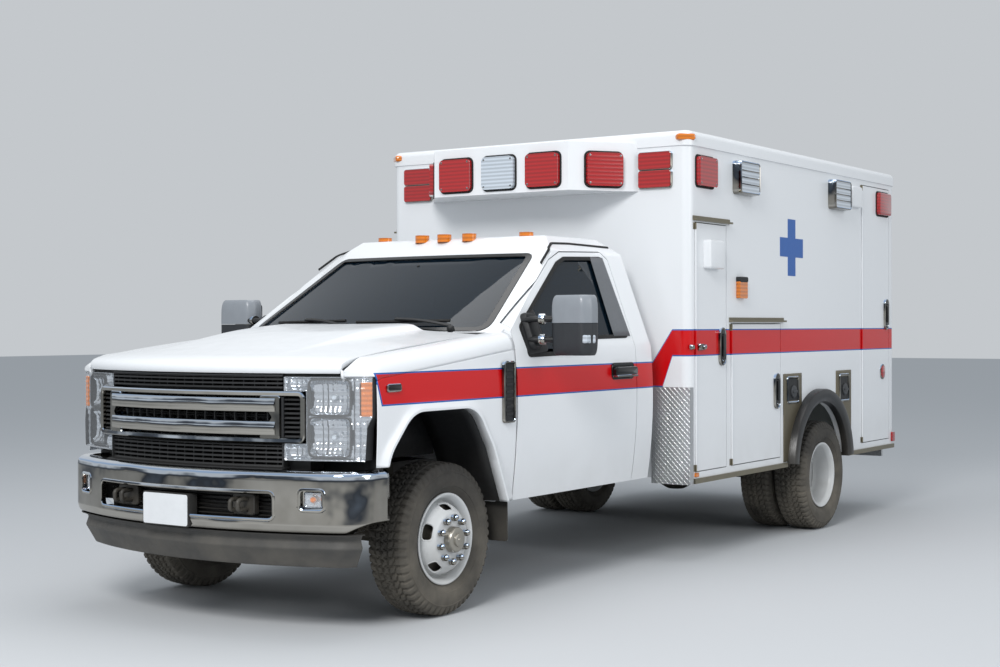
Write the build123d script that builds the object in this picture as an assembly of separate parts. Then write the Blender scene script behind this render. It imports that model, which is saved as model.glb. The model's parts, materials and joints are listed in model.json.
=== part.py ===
from build123d import *
import os

# Ambulance on a heavy pickup chassis cab, type I box body, twin rear wheels.
# Millimetres. Drawing frame: y = 0 at the front axle and rearward positive,
# x positive towards the vehicle's left, z up from the floor. Every node is
# moved by ORIGIN_SHIFT at the end, so that y = 0 lies at the middle of the length.

# Chassis
WHEELBASE = 4300
TYRE_RADIUS = 395
TYRE_WIDTH = 246
RIM_RADIUS = 216
RIM_FLANGE = 14
RIM_HALF = 88
WHEEL_OFFSET = 134
HUB_X = 964
KINGPIN_X = 770
YOKE_HALF = 130
YOKE_ARM = 26
STUDS = 8
STUD_CIRCLE = 100
HAND_HOLE_CIRCLE = 156
HAND_HOLE_RADIUS = 21
RAIL_HALF = 432
RAIL_HEIGHT = 190
RAIL_FLANGE = 70
RAIL_WALL = 9
RAIL_BOTTOM = 560
FRAME_FRONT = -820
FRAME_REAR = 5790
AXLE_TUBE_RADIUS = 48

# Overall reach
FRONT_REACH = 1020
STEP_REACH = 190

# Cab
CAB_HALF = 1000
CAB_SILL = 545
BELT_Z = 1400
CANT_Z = 1930
ROOF_Z = 2022
CANT_HALF = 800
ROOF_HALF = 690
CAB_FRONT = 440
CAB_BACK = 2060
CAB_WALL = 62
FRAME_WALL = 46
CAB_FLOOR = 785
CAB_FLOOR_THICK = 28
SILL_INNER = 840
SCREEN_BASE_MID = 187
SCREEN_BASE_SIDE = 455
SCREEN_TOP_MID = 1140
SCREEN_TOP_SIDE = 1225
DOOR_GAP = 6
GLASS = 6
GLASS_INSET = 12
RUN_GAP = 0.3

# Front end
NOSE_MID = 945
NOSE_BOW = 0.27
HOOD_HALF = 905
HOOD_FRONT_Z = 1262
HOOD_SKIN = 26
FENDER_WALL = 38
ARCH_TOP = 1065

# Box body
BODY_FRONT = 2253
BODY_LENGTH = 3627
BODY_HALF = 1168
BODY_BOTTOM = 525
BODY_LIP = 2615
BODY_TOP = 2712
BODY_WALL = 42
BODY_CORNER = 62
RUB_RAIL_HEIGHT = 32
FLOOR_TOP = 860
FLOOR_THICK = 60
LIP_OVERHANG = 9
LAMP_NOSE_DEPTH = 383
LAMP_NOSE_HALF = 520
LAMP_NOSE_ROOT = 810
LAMP_NOSE_BOTTOM = 2340
LAMP_NOSE_TOP = 2645
LOCKER_DEPTH = 520
ARCH_RADIUS = 500
FLARE_WIDTH = 62

# Worked out from the values above
AXLE_Z = TYRE_RADIUS
BODY_REAR = BODY_FRONT + BODY_LENGTH
REAR_REACH = BODY_REAR + STEP_REACH
ORIGIN_SHIFT = (FRONT_REACH - REAR_REACH) / 2
RAIL_TOP = RAIL_BOTTOM + RAIL_HEIGHT
FRONT_WHEEL_X = HUB_X - WHEEL_OFFSET
REAR_OUTER_X = HUB_X + WHEEL_OFFSET
REAR_INNER_X = HUB_X - WHEEL_OFFSET
LOCKER_WALL = 20

os.makedirs("parts", exist_ok=True)


def slab(x0, x1, y0, y1, z0, z1):
    """Block between two corners."""
    return Pos((x0 + x1) / 2, (y0 + y1) / 2, (z0 + z1) / 2) * Box(abs(x1 - x0), abs(y1 - y0), abs(z1 - z0))


def rod(p, q, radius):
    """Round bar from point p to point q."""
    p, q = Vector(p), Vector(q)
    run = q - p
    plane = Plane(origin=p, z_dir=run)
    return extrude(plane * Circle(radius), run.length)


def side_prism(points, x0, x1, radius=0):
    """Outline of (y, z) points, its corners rounded, carried from x0 to x1."""
    sketch = Polygon(*points, align=None)
    if radius:
        sketch = fillet(sketch.vertices(), radius)
    return extrude(Plane.YZ.offset(x0) * sketch, x1 - x0, dir=(1, 0, 0))


def front_prism(points, y0, y1, radius=0):
    """Outline of (x, z) points, its corners rounded, carried from y0 to y1."""
    sketch = Polygon(*points, align=None)
    if radius:
        sketch = fillet(sketch.vertices(), radius)
    plane = Plane(origin=(0, y0, 0), x_dir=(1, 0, 0), z_dir=(0, -1, 0))
    return extrude(plane * sketch, y1 - y0, dir=(0, 1, 0))


def plan_prism(points, z0, z1, radius=0):
    """Outline of (x, y) points, its corners rounded, carried from z0 to z1."""
    sketch = Polygon(*points, align=None)
    if radius:
        sketch = fillet(sketch.vertices(), radius)
    return extrude(Plane.XY.offset(z0) * sketch, z1 - z0)


def rect(a0, a1, b0, b1):
    """Corner points of a rectangle in a drawing plane."""
    return [(a0, b0), (a1, b0), (a1, b1), (a0, b1)]


def other_side(shape):
    """The same piece on the vehicle's right."""
    return mirror(shape, about=Plane.YZ)


def both(shape):
    """A piece and its mirror image."""
    return [shape, other_side(shape)]


def solids_of(items):
    """All solids in a nested list of shapes."""
    found = []
    for item in items:
        if isinstance(item, (list, tuple)):
            found += solids_of(item)
        else:
            found += list(item.solids())
    return found


def save(name, *items):
    """Write one node, moved to the part's origin."""
    found = solids_of(items)
    shape = found[0] if len(found) == 1 else Compound(children=found)
    export_step(Pos(0, ORIGIN_SHIFT, 0) * shape, f"parts/{name}.step")


# Wheels

def wheel_ring(profile):
    """Ring turned about the wheel's axle from (offset, radius) points."""
    sketch = Plane.XZ * Polygon(*profile, align=None)
    return revolve(sketch, Axis.X, 360)


def tyre(x):
    """Tyre with bead, bulged sidewall and flat tread band, centred at x."""
    half = TYRE_WIDTH / 2
    seat = RIM_RADIUS + RUN_GAP
    side = [(RIM_HALF - 2, seat), (RIM_HALF - 1, seat + 24), (half - 12, 262), (half, 305), (half - 6, 350),
            (half - 18, TYRE_RADIUS - 16), (half - 34, TYRE_RADIUS - 4), (half - 60, TYRE_RADIUS)]
    profile = side + [(-o, r) for o, r in reversed(side)]
    return Pos(x, 0, 0) * wheel_ring(profile)


def rim(x, outward):
    """Steel disc wheel. The disc runs to the hub plane, outward or inward of the rim."""
    seat, flange = RIM_RADIUS, RIM_RADIUS + RIM_FLANGE + 5
    barrel = [(RIM_HALF + 6, flange), (RIM_HALF, flange), (RIM_HALF - 2, seat), (-RIM_HALF + 2, seat),
              (-RIM_HALF, flange), (-RIM_HALF - 6, flange), (-RIM_HALF - 4, seat - 8), (RIM_HALF + 4, seat - 8)]
    face = WHEEL_OFFSET
    disc = [(40, seat - 4), (60, seat - 4), (86, 190), (face - 30, 172), (face - 4, 140), (face, 128), (face, 62),
            (face - 12, 62), (face - 12, 126), (face - 44, 164), (66, 186), (40, 196)]
    shape = wheel_ring(barrel) + wheel_ring(disc)
    for k in range(STUDS):
        turn = Rot(360 / STUDS * (k + 0.5), 0, 0)
        shape -= turn * rod((face - 80, 0, HAND_HOLE_CIRCLE), (face + 20, 0, HAND_HOLE_CIRCLE), HAND_HOLE_RADIUS)
    if not outward:
        shape = other_side(shape)
    return Pos(x, 0, 0) * shape


def hub(reach):
    """Hub: flange behind the disc, bearing cap through it and the wheel studs."""
    face = HUB_X - 12
    shape = rod((face - 26, 0, 0), (face - RUN_GAP, 0, 0), 118)
    shape += rod((face - RUN_GAP, 0, 0), (face + reach, 0, 0), 60)
    for k in range(STUDS):
        turn = Rot(360 / STUDS * k, 0, 0)
        shape += turn * rod((face - RUN_GAP, 0, STUD_CIRCLE), (face + 34, 0, STUD_CIRCLE), 9)
    return shape


def place_wheel(shape, y):
    return Pos(0, y, AXLE_Z) * shape


def wheels():
    front_rim = rim(FRONT_WHEEL_X, True) + hub(52)
    front_tyre = tyre(FRONT_WHEEL_X)
    rear_outer = rim(REAR_OUTER_X, False)
    rear_inner = rim(REAR_INNER_X, True)
    rear_rims = [place_wheel(s, WHEELBASE) for s in (rear_outer + rear_inner + hub(70), )]
    rear_tyres = [place_wheel(tyre(x), WHEELBASE) for x in (REAR_OUTER_X, REAR_INNER_X)]
    front = [place_wheel(front_rim, 0)]
    front_t = [place_wheel(front_tyre, 0)]
    save("front_rim_left", front)
    save("front_rim_right", [other_side(s) for s in front])
    save("front_tyre_left", front_t)
    save("front_tyre_right", [other_side(s) for s in front_t])
    save("rear_rims_left", rear_rims)
    save("rear_rims_right", [other_side(s) for s in rear_rims])
    save("rear_tyres_left", rear_tyres)
    save("rear_tyres_right", [other_side(s) for s in rear_tyres])


def knuckles():
    """Steering knuckle with spindle, brake caliper and steering arm, between the axle's yoke arms."""
    face = HUB_X - 38 - RUN_GAP
    spindle = rod((KINGPIN_X - 30, 0, AXLE_Z), (face, 0, AXLE_Z), 44)
    upright = slab(KINGPIN_X - 34, KINGPIN_X + 34, -50, 50, AXLE_Z - 96, AXLE_Z + 96)
    caliper = slab(KINGPIN_X + 30, KINGPIN_X + 110, -150, -60, AXLE_Z - 70, AXLE_Z + 90)
    link = slab(KINGPIN_X - 20, KINGPIN_X + 60, -70, -30, AXLE_Z + 20, AXLE_Z + 60)
    arm = slab(KINGPIN_X - 30, KINGPIN_X + 10, 40, 150, AXLE_Z - 90, AXLE_Z - 60)
    pin_end = YOKE_HALF - YOKE_ARM - RUN_GAP
    pin = rod((KINGPIN_X, 0, AXLE_Z - pin_end), (KINGPIN_X, 0, AXLE_Z + pin_end), 22)
    left = spindle + upright + caliper + link + arm + pin
    save("knuckle_left", left)
    save("knuckle_right", other_side(left))


# Chassis

def chassis_frame():
    """Two channel rails with cross members, body outriggers, tow hooks and receiver."""
    inner = RAIL_HALF - RAIL_FLANGE
    channel = front_prism(rect(inner, RAIL_HALF, RAIL_BOTTOM, RAIL_TOP), FRAME_FRONT, FRAME_REAR)
    channel -= front_prism(rect(inner - 1, RAIL_HALF - RAIL_WALL, RAIL_BOTTOM + RAIL_WALL, RAIL_TOP - RAIL_WALL),
                           FRAME_FRONT - 1, FRAME_REAR + 1)
    frame = channel + other_side(channel)
    for y in (-700, 1300, 2300, 2900, 3600, 5000, FRAME_REAR - 60):
        frame += slab(-RAIL_HALF + RAIL_WALL, RAIL_HALF - RAIL_WALL, y, y + 60, RAIL_BOTTOM + 62, RAIL_TOP - 20)
    for y in (2500, 3300, 5150, 5650):
        for side in (1, -1):
            frame += slab(side * (RAIL_HALF - 4), side * 640, y, y + 50, RAIL_TOP - 60, RAIL_TOP)
    for side in (1, -1):
        frame += slab(side * inner, side * RAIL_HALF, BUMPER_SEAT + RUN_GAP, FRAME_FRONT + 5, RAIL_TOP - BUMPER_PAD, RAIL_TOP)
    save("chassis_frame", frame)


def front_axle():
    """Driven beam axle with offset gear case, yokes, coil springs, radius arms and track bar."""
    yoke_x = KINGPIN_X - 110
    beam = rod((-yoke_x, 0, AXLE_Z), (yoke_x, 0, AXLE_Z), AXLE_TUBE_RADIUS)
    case = Pos(180, 0, AXLE_Z) * Sphere(150)
    beam += case & slab(0, 400, -120, 140, AXLE_Z - 150, AXLE_Z + 140)
    for side in (1, -1):
        beam += slab(side * (yoke_x - 30), side * (yoke_x + 30), -45, 45, AXLE_Z - YOKE_HALF, AXLE_Z + YOKE_HALF)
        for z in (AXLE_Z - YOKE_HALF, AXLE_Z + YOKE_HALF - YOKE_ARM):
            beam += slab(side * yoke_x, side * (KINGPIN_X + 20), -36, 36, z, z + YOKE_ARM)
        beam += slab(side * 350, side * 415, -20, 760, AXLE_Z - 20, AXLE_Z + 40)
        beam += slab(side * 350, side * 415, 700, 760, AXLE_Z + 30, RAIL_BOTTOM - RUN_GAP)
        beam += rod((side * 495, 0, AXLE_Z), (side * 495, 0, 700), 58)
        beam += slab(side * (RAIL_HALF + RUN_GAP), side * 540, -60, 60, 680, 760)
    save("front_axle", beam)


def rear_axle():
    """Live axle with centre gear case, leaf springs on hangers, and the propeller shaft."""
    tube_end = HUB_X - 38 - RUN_GAP
    beam = rod((-tube_end, WHEELBASE, AXLE_Z), (tube_end, WHEELBASE, AXLE_Z), AXLE_TUBE_RADIUS + 4)
    beam += Pos(0, WHEELBASE, AXLE_Z) * Sphere(175) & slab(-200, 200, WHEELBASE - 175, WHEELBASE + 160, 230, 560)
    beam += rod((0, WHEELBASE - 330, AXLE_Z + 20), (0, WHEELBASE, AXLE_Z), 60)
    beam += rod((0, 1290, 560), (0, WHEELBASE - 320, AXLE_Z + 20), 42)
    for side in (1, -1):
        x0, x1 = side * 455, side * 530
        leaves = side_prism([(WHEELBASE - 700, 560), (WHEELBASE - 300, 470), (WHEELBASE + 300, 470),
                             (WHEELBASE + 760, 560), (WHEELBASE + 760, 590), (WHEELBASE + 300, 530),
                             (WHEELBASE - 300, 530), (WHEELBASE - 700, 590)], min(x0, x1), max(x0, x1))
        beam += leaves
        beam += slab(x0, x1, WHEELBASE - 50, WHEELBASE + 50, AXLE_Z, 480)
        for y in (WHEELBASE - 720, WHEELBASE + 700):
            beam += slab(side * (RAIL_HALF + RUN_GAP), x1, y, y + 60, 565, 660)
    save("rear_axle", beam)


def engine_block():
    """Engine, transmission and transfer case as plain blocks at their real places."""
    block = slab(-330, 330, -560, 330, 560, 1150)
    block += slab(-190, 190, 330, 1240, 480, 620)
    block += slab(-355, 355, -690, -640, RAIL_TOP - 20 + RUN_GAP, 1220)
    block += slab(-60, 60, -650, -550, 900, 1000)
    for side in (1, -1):
        block += slab(side * 320, side * (RAIL_HALF - RAIL_WALL - RUN_GAP), -80, 40, 640, 700)
    save("engine_block", block)


def exhaust_and_tank():
    """Silencer with its pipe to the right side behind the rear wheels, and the tank between the rails."""
    silencer = rod((-545, 1350, 600), (-545, 2150, 600), 85)
    pipe = rod((-545, 2140, 600), (-545, 3560, 560), 42)
    pipe += rod((-545, 500, 600), (-545, 1360, 600), 42)
    hanger = slab(-RAIL_HALF - RUN_GAP, -520, 1700, 1740, 640, 700)
    save("exhaust", silencer + pipe + hanger)
    tank = slab(-330, 330, WHEELBASE + 440, WHEELBASE + 1260, 400, RAIL_BOTTOM + 62 - RUN_GAP)
    tank = fillet(tank.edges().filter_by(Axis.Y), 50)
    save("fuel_tank", tank)


# Cab

def cab_house(inset, roof=0):
    """Greenhouse: loft from belt to cant rail, then the roof, with a bowed front."""
    def ring(z, half, mid, side, back):
        half, mid, side, back = half - inset, mid + inset, side + inset, back - inset
        front = ThreePointArc((-half, side, z), (0, mid, z), (half, side, z))
        left = Line((half, side, z), (half, back, z))
        rear = Line((half, back, z), (-half, back, z))
        right = Line((-half, back, z), (-half, side, z))
        return make_face([front, left, rear, right])

    lower = ring(BELT_Z - 40, 1000, SCREEN_BASE_MID - 72, SCREEN_BASE_SIDE - 58, CAB_BACK)
    cant = ring(CANT_Z, CANT_HALF, SCREEN_TOP_MID, SCREEN_TOP_SIDE, CAB_BACK - 26)
    crown = ring(ROOF_Z - roof, ROOF_HALF, SCREEN_TOP_MID + 150, SCREEN_TOP_SIDE + 105, CAB_BACK - 150)
    return loft([lower, cant], ruled=True) + loft([cant, crown], ruled=True)


def cab_base(inset, floor_up=0):
    """Body below the belt: gently curved sides drawn in at the sill."""
    half = CAB_HALF - inset
    side = [Line((0, CAB_SILL + floor_up), (half - 26, CAB_SILL + floor_up)),
            ThreePointArc((half - 26, CAB_SILL + floor_up), (half + 12, 930), (half, BELT_Z - 40)),
            Line((half, BELT_Z - 40), (0, BELT_Z - 40)),
            Line((0, BELT_Z - 40), (0, CAB_SILL + floor_up))]
    plane = Plane(origin=(0, CAB_FRONT + inset, 0), x_dir=(1, 0, 0), z_dir=(0, -1, 0))
    half_body = extrude(plane * make_face(side), CAB_BACK - CAB_FRONT - 2 * inset, dir=(0, 1, 0))
    return half_body + other_side(half_body)


PILLAR_X = 925
DOOR_SKIN = 5
PAN_INSET = 14
FENDER_BACK_Z = 1462
DOOR_FRONT = 545
DOOR_BACK = 1850
DOOR_OUTLINE = [(DOOR_FRONT, CAB_SILL - 5), (DOOR_FRONT, 1400), (DOOR_FRONT + 30, 1500), (1165, 1868), (1300, 1918),
                (1780, 1934), (1845, 1890), (DOOR_BACK + 10, 1400), (DOOR_BACK, CAB_SILL - 5)]
WINDOW_OUTLINE = [(672, 1327), (650, 1480), (1235, 1850), (1330, 1882), (1770, 1896), (1800, 1424), (1260, 1418),
                  (1150, 1334)]

SCREEN_OUTLINE = [(-838, 1468), (838, 1468), (700, 1900), (-700, 1900)]
BACK_OUTLINE = rect(-560, 560, 1440, 1800)
WINDOW_CORNER = 30


def grow(points, by):
    """Outline moved outwards by a distance, as a sketch."""
    return offset(Polygon(*points, align=None), amount=by, kind=Kind.INTERSECTION)


def side_cut(sketch, x0, x1):
    return extrude(Plane.YZ.offset(x0) * sketch, x1 - x0, dir=(1, 0, 0))


def cab():
    """Hollow cab with its doors, glass and hinges."""
    outer = cab_house(0) + cab_base(0)
    inner = cab_house(FRAME_WALL, FRAME_WALL) + cab_base(CAB_WALL, CAB_FLOOR - CAB_SILL)
    walls = outer - inner
    walls -= slab(-SILL_INNER, SILL_INNER, CAB_FRONT - 10, CAB_BACK + 10, 0, CAB_FLOOR - CAB_FLOOR_THICK)
    door_zone = slab(CAB_HALF - CAB_WALL, 1100, 0, 3000, 0, BELT_Z - 40) + slab(500, 1100, 0, 3000, BELT_Z - 41, 3000)
    skin = outer - (cab_house(DOOR_SKIN) + cab_base(DOOR_SKIN))
    door_body = skin & side_cut(Polygon(*DOOR_OUTLINE, align=None), 300, 1100)
    door_body += (walls - skin) & side_cut(grow(DOOR_OUTLINE, -PAN_INSET), 300, 1100)
    door_body &= door_zone
    gap_zone = side_cut(grow(DOOR_OUTLINE, DOOR_GAP), 300, 1100) & Pos(-DOOR_GAP, 0, 0) * door_zone
    shell = walls - gap_zone - other_side(gap_zone)
    window = side_cut(Polygon(*WINDOW_OUTLINE, align=None), 300, 1100)
    door_left = door_body - window

    sheet = cab_house(GLASS_INSET) - cab_house(GLASS_INSET + GLASS)
    panes = []
    for points, y0, y1 in ((SCREEN_OUTLINE, 0, 1500), (BACK_OUTLINE, CAB_BACK - 250, CAB_BACK + 50)):
        shell -= front_prism(points, y0, y1, WINDOW_CORNER)
        plane = Plane(origin=(0, y0, 0), x_dir=(1, 0, 0), z_dir=(0, -1, 0))
        hole = fillet(Polygon(*points, align=None).vertices(), WINDOW_CORNER)
        panes.append(sheet & extrude(plane * offset(hole, amount=-RUN_GAP), y1 - y0, dir=(0, 1, 0)))
    save("cab_glass", panes)
    pane = sheet & side_cut(grow(WINDOW_OUTLINE, -RUN_GAP), 300, 1100)

    for side in (1, -1):
        x0, x1 = sorted((side * 860, side * PILLAR_X))
        xa, xb = sorted((side * PILLAR_X, side * 1100))
        shell -= slab(xa, xb, 300, DOOR_FRONT - DOOR_GAP + 2, 400, FENDER_BACK_Z + DOOR_GAP)
        shell += slab(x0, x1, CAB_FRONT, DOOR_FRONT + 40, CAB_FLOOR - 5, BELT_Z - 60)
        xs0, xs1 = sorted((side * 400, side * 460))
        shell += slab(xs0, xs1, 600, 700, RAIL_TOP + RUN_GAP, CAB_FLOOR - 5)
        shell += slab(xs0, xs1, 1800, 1900, RAIL_TOP + RUN_GAP, CAB_FLOOR - 5)
        xa, xb = sorted((side * (PILLAR_X - 10), side * (CAB_HALF - 50)))
        for z in (760, 1220):
            shell += slab(xa, xb, DOOR_FRONT - 36, DOOR_FRONT + PAN_INSET - RUN_GAP, z - 35, z + 35)
    handle = slab(CAB_HALF - 10, CAB_HALF + 34, 1590, 1810, 1190, 1235)
    door_left += handle
    save("cab_shell", shell)
    save("cab_door_left", door_left)
    save("cab_door_right", other_side(door_left))
    save("door_glass_left", pane)
    save("door_glass_right", other_side(pane))


def mirrors():
    """Tow mirror: tall shell with a turn lamp, on two arms from the door's front corner."""
    left = plan_prism([(1090, 700), (1300, 640), (1330, 700), (1310, 790), (1090, 790)], 1325, 1655, 25)
    for z in (1395, 1505):
        left += slab(900, 1100, 690, 745, z, z + 38)
    left += slab(900, 1016, 650, 760, 1345, 1550)
    left -= cab_house(-RUN_GAP) + cab_base(-RUN_GAP)
    save("mirror_left", left)
    save("mirror_right", other_side(left))


def cab_inside():
    """Dashboard, steering wheel and the two front seats."""
    dash = side_prism([(505, 1180), (520, 1420), (760, 1420), (860, 1360), (860, 1120), (780, 1060), (520, 1060)],
                      -850, 850, 20)
    dash += slab(-150, 150, 700, 900, CAB_FLOOR + RUN_GAP, 1100)
    dash += slab(-850, 850, 505, 560, 1000, 1180)
    centre, axis = Vector(STEER_CENTRE), Vector(STEER_AXIS)
    dash += rod(centre - axis * 245, centre - axis * (STEER_BOSS + RUN_GAP), 34)
    save("dashboard", dash)
    save("cab_seats", [seat(side * 440) for side in (1, -1)])
    save("steering_wheel", steering_wheel())


STEER_CENTRE = (400, 1010, 1315)
STEER_AXIS = (0, 0.9397, 0.342)
STEER_BOSS = 22


def steering_wheel():
    """Rim and three spokes on a boss, square to the column."""
    plane = Plane(origin=STEER_CENTRE, x_dir=(1, 0, 0), z_dir=STEER_AXIS)
    ring = plane * Torus(188, 15)
    boss = extrude(plane * Circle(62), 30) + extrude(plane * Circle(62), -STEER_BOSS)
    spokes = plane * (Box(370, 34, 16) + Pos(0, -95, 0) * Box(34, 180, 16))
    return ring + boss + spokes


def seat(x):
    """Bucket seat on its plinth: cushion, backrest and headrest in one closed form."""
    cushion = slab(x - 260, x + 260, 1230, 1740, 1000, 1130)
    cushion = fillet(cushion.edges().filter_by(Axis.X), 40)
    back = side_prism([(1690, 1060), (1830, 1060), (1990, 1560), (1900, 1590), (1800, 1560)], x - 250, x + 250, 30)
    head = side_prism([(1880, 1570), (1960, 1570), (1995, 1740), (1905, 1750)], x - 130, x + 130, 20)
    plinth = slab(x - 210, x + 210, 1270, 1700, CAB_FLOOR + RUN_GAP, 1005)
    return cushion + back + head + plinth


# Front end

def nose_y(x, extra=0):
    """Front face of hood and grille in plan: a shallow bow."""
    return -NOSE_MID - extra + NOSE_BOW * x * x / 1000


def bow_outline(half, back, extra=0):
    """Plan face from the bowed nose back to a straight line."""
    edge = nose_y(half, extra)
    front = ThreePointArc((-half, edge), (0, nose_y(0, extra)), (half, edge))
    return make_face([front, Line((half, edge), (half, back)), Line((half, back), (-half, back)),
                      Line((-half, back), (-half, edge))])


def bow_prism(half, back, z0, z1, extra=0):
    return extrude(Plane.XY.offset(z0) * bow_outline(half, back, extra), z1 - z0)


HOOD_BACK_MID = 250
HOOD_BACK_SIDE = 410


def hood():
    """Crowned hood with a raised centre, open below."""
    def section(y, centre, side):
        half = HOOD_HALF + 60
        plane = Plane(origin=(0, y, 0), x_dir=(1, 0, 0), z_dir=(0, -1, 0))
        arc = ThreePointArc((-half, side), (0, centre), (half, side))
        return plane * make_face([arc, Line((half, side), (half, 1100)), Line((half, 1100), (-half, 1100)),
                                  Line((-half, 1100), (-half, side))])

    def dome(y, half, top):
        plane = Plane(origin=(0, y, 0), x_dir=(1, 0, 0), z_dir=(0, -1, 0))
        return plane * Polygon((-half, 1150), (half, 1150), (half, top - 26), (half - 70, top), (70 - half, top),
                               (-half, top - 26), align=None)

    form = loft([section(-NOSE_MID - 60, 1318, 1268), section(-500, 1400, 1345), section(450, 1492, 1430)])
    form += loft([dome(-NOSE_MID - 60, 420, 1336), dome(-500, 470, 1418), dome(450, 520, 1512)])
    skin = form - Pos(0, HOOD_SKIN, -HOOD_SKIN) * form
    skin &= bow_prism(HOOD_HALF, 420, HOOD_FRONT_Z, 1700)
    back = make_face([ThreePointArc((-HOOD_HALF - 5, HOOD_BACK_SIDE), (0, HOOD_BACK_MID), (HOOD_HALF + 5, HOOD_BACK_SIDE)),
                      Line((HOOD_HALF + 5, HOOD_BACK_SIDE), (HOOD_HALF + 5, 900)),
                      Line((HOOD_HALF + 5, 900), (-HOOD_HALF - 5, 900)),
                      Line((-HOOD_HALF - 5, 900), (-HOOD_HALF - 5, HOOD_BACK_SIDE))])
    skin -= extrude(Plane.XY.offset(1100) * back, 600)
    for side in (1, -1):
        x0, x1 = sorted((side * 740, side * 800))
        skin += slab(x0, x1, 300, 400, 1405, 1417) - cab_house(-RUN_GAP)
    save("hood", skin)


ARCH_OUTLINE = [(-585, 500), (-600, 860), (-470, 1010), (-300, ARCH_TOP), (120, ARCH_TOP), (290, 900), (410, 640),
                (440, 500)]


def fenders():
    """Front fenders: crowned side walls with a trapezoid wheel arch, and the inner aprons."""
    def section(y, top, wide):
        plane = Plane(origin=(0, y, 0), x_dir=(1, 0, 0), z_dir=(0, -1, 0))
        low = CAB_SILL + 5
        outer = [(HOOD_HALF + DOOR_GAP, top), (wide - 22, top - 24), (wide, top - 110), (wide + 6, 1000),
                 (wide - 22, low)]
        inner = [(wide - 22 - FENDER_WALL, low), (wide + 6 - FENDER_WALL, 1000), (wide - FENDER_WALL, top - 110),
                 (wide - 40, top - 60), (HOOD_HALF - 60, top - 76), (HOOD_HALF - 60, top - 54),
                 (HOOD_HALF + DOOR_GAP, top - 54)]
        return plane * Polygon(*(outer + inner), align=None)

    wall = loft([section(-720, 1338, 1004), section(-100, 1395, 1012), section(DOOR_FRONT - DOOR_GAP, FENDER_BACK_Z, 1004)],
                ruled=True)
    wall -= side_prism(ARCH_OUTLINE, 800, 1100, 20)
    wall -= slab(800, 1100, -800, -540, 400, 812)
    wall -= slab(700, PILLAR_X + DOOR_GAP, CAB_FRONT - DOOR_GAP, 700, 0, 2000)
    wall -= slab(700, 1100, -800, LAMP_BACK + RUN_GAP, 800, 1251)
    wall -= cab_house(-RUN_GAP) & slab(-PILLAR_X - DOOR_GAP, PILLAR_X + DOOR_GAP, 0, 700, 1300, 1600)
    save("front_fenders", both(wall))


BUMPER_SEAT = -900
BUMPER_PAD = 45


def front_bumper():
    """Chrome bumper: bowed face wrapping to the arches, with centre opening and fog lamp pockets."""
    depth = 70
    face = bow_outline(1000, -560, FRONT_REACH - NOSE_MID)
    inner = bow_outline(1000 - depth / 2, -500, FRONT_REACH - NOSE_MID - depth / 2)
    shell = extrude(Plane.XY.offset(505) * (face - inner), 285)
    shell -= slab(-600, 600, -1200, -700, 560, 700)
    for side in (1, -1):
        shell -= slab(side * 715, side * 850, -1100, -700, 605, 720)
    for side in (1, -1):
        shell += slab(side * (RAIL_HALF - RAIL_FLANGE), side * RAIL_HALF, -965, BUMPER_SEAT, RAIL_TOP - BUMPER_PAD, RAIL_TOP)
    save("front_bumper", shell)


def air_dam():
    """Black valance below the bumper with the lamp covers' height."""
    face = bow_outline(965, -600, FRONT_REACH - 60 - NOSE_MID)
    inner = bow_outline(930, -560, FRONT_REACH - 95 - NOSE_MID)
    save("air_dam", extrude(Plane.XY.offset(330) * (face - inner), 174.7))


LAMP_STEP_X = 706
LAMP_BACK = -640


def grille():
    """Grille: black mesh panels above and below two heavy bright bars in a surround."""
    def band(half, z0, z1, extra, depth):
        outer = bow_outline(half, -700, extra)
        inner = bow_outline(half + 5, -640, extra - depth)
        return extrude(Plane.XY.offset(z0) * (outer - inner), z1 - z0)

    post_x = LAMP_STEP_X - RUN_GAP
    shape = band(post_x, 870, 900, 20, 85)
    for z, height in ((1010, 60), (1115, 50)):
        shape += band(690, z, z + height, 25, 70)
    for z in (915, 945, 975):
        shape += band(640, z, z + 9, 0, 40)
    for z in (1195, 1222, 1243):
        shape += band(578, z, z + 9, 0, 40)
    for side in (1, -1):
        post = slab(side * 640, side * post_x, -1000, -700, 870, 1170) & band(post_x, 860, 1180, 20, 85)
        shape += post
    for k in range(-6, 7):
        rib = slab(k * 90 - 4, k * 90 + 4, -1100, -700, 880, 1250) & band(690, 880, 1250, -12, 20)
        shape += rib
    save("grille", shape)


def headlamps():
    """Tall wrap-round headlamps."""
    def outline(inset):
        x0, x1 = 585 + inset, 1004 - inset
        face = make_face([ThreePointArc((x0, nose_y(x0, -20)), (830, nose_y(830, -32)), (x1, -700)),
                          Line((x1, -700), (x1, LAMP_BACK)), Line((x1, LAMP_BACK), (x0, LAMP_BACK)),
                          Line((x0, LAMP_BACK), (x0, nose_y(x0, -20)))])
        return face

    left = extrude(Plane.XY.offset(845) * outline(0), 400)
    left -= slab(500, LAMP_STEP_X, -1100, -600, 800, 1180)
    save("headlamps", both(left))


def cowl():
    """Black cowl between hood and windscreen, with two wiper arms."""
    panel = (cab_house(-12) - cab_house(-RUN_GAP)) & slab(-860, 860, 0, 700, 1425, 1452)
    save("cowl_panel", panel)


# Box body

LEFT_LOCKERS = {"front": (2335, 2773, 570, 2133), "middle": (2850, 3628, 572, 1495), "rear": (5165, 5755, 575, 2573)}
RIGHT_LOCKERS = {"front": (2335, 2773, 570, 2133), "entry": (2860, 3640, 572, 2315), "rear": (5165, 5755, 575, 2133)}
REAR_DOOR_HALF = 622
REAR_DOOR_Z = (830, 2430)
SIDE_WINDOW = (3010, 3490, 1640, 2200)
REAR_WINDOW = (150, 500, 1640, 2200)
DOOR_THICK = 44
HINGE_RADIUS = 5
HINGE_OUT = HINGE_RADIUS + 1
HINGE_END = 42


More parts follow.
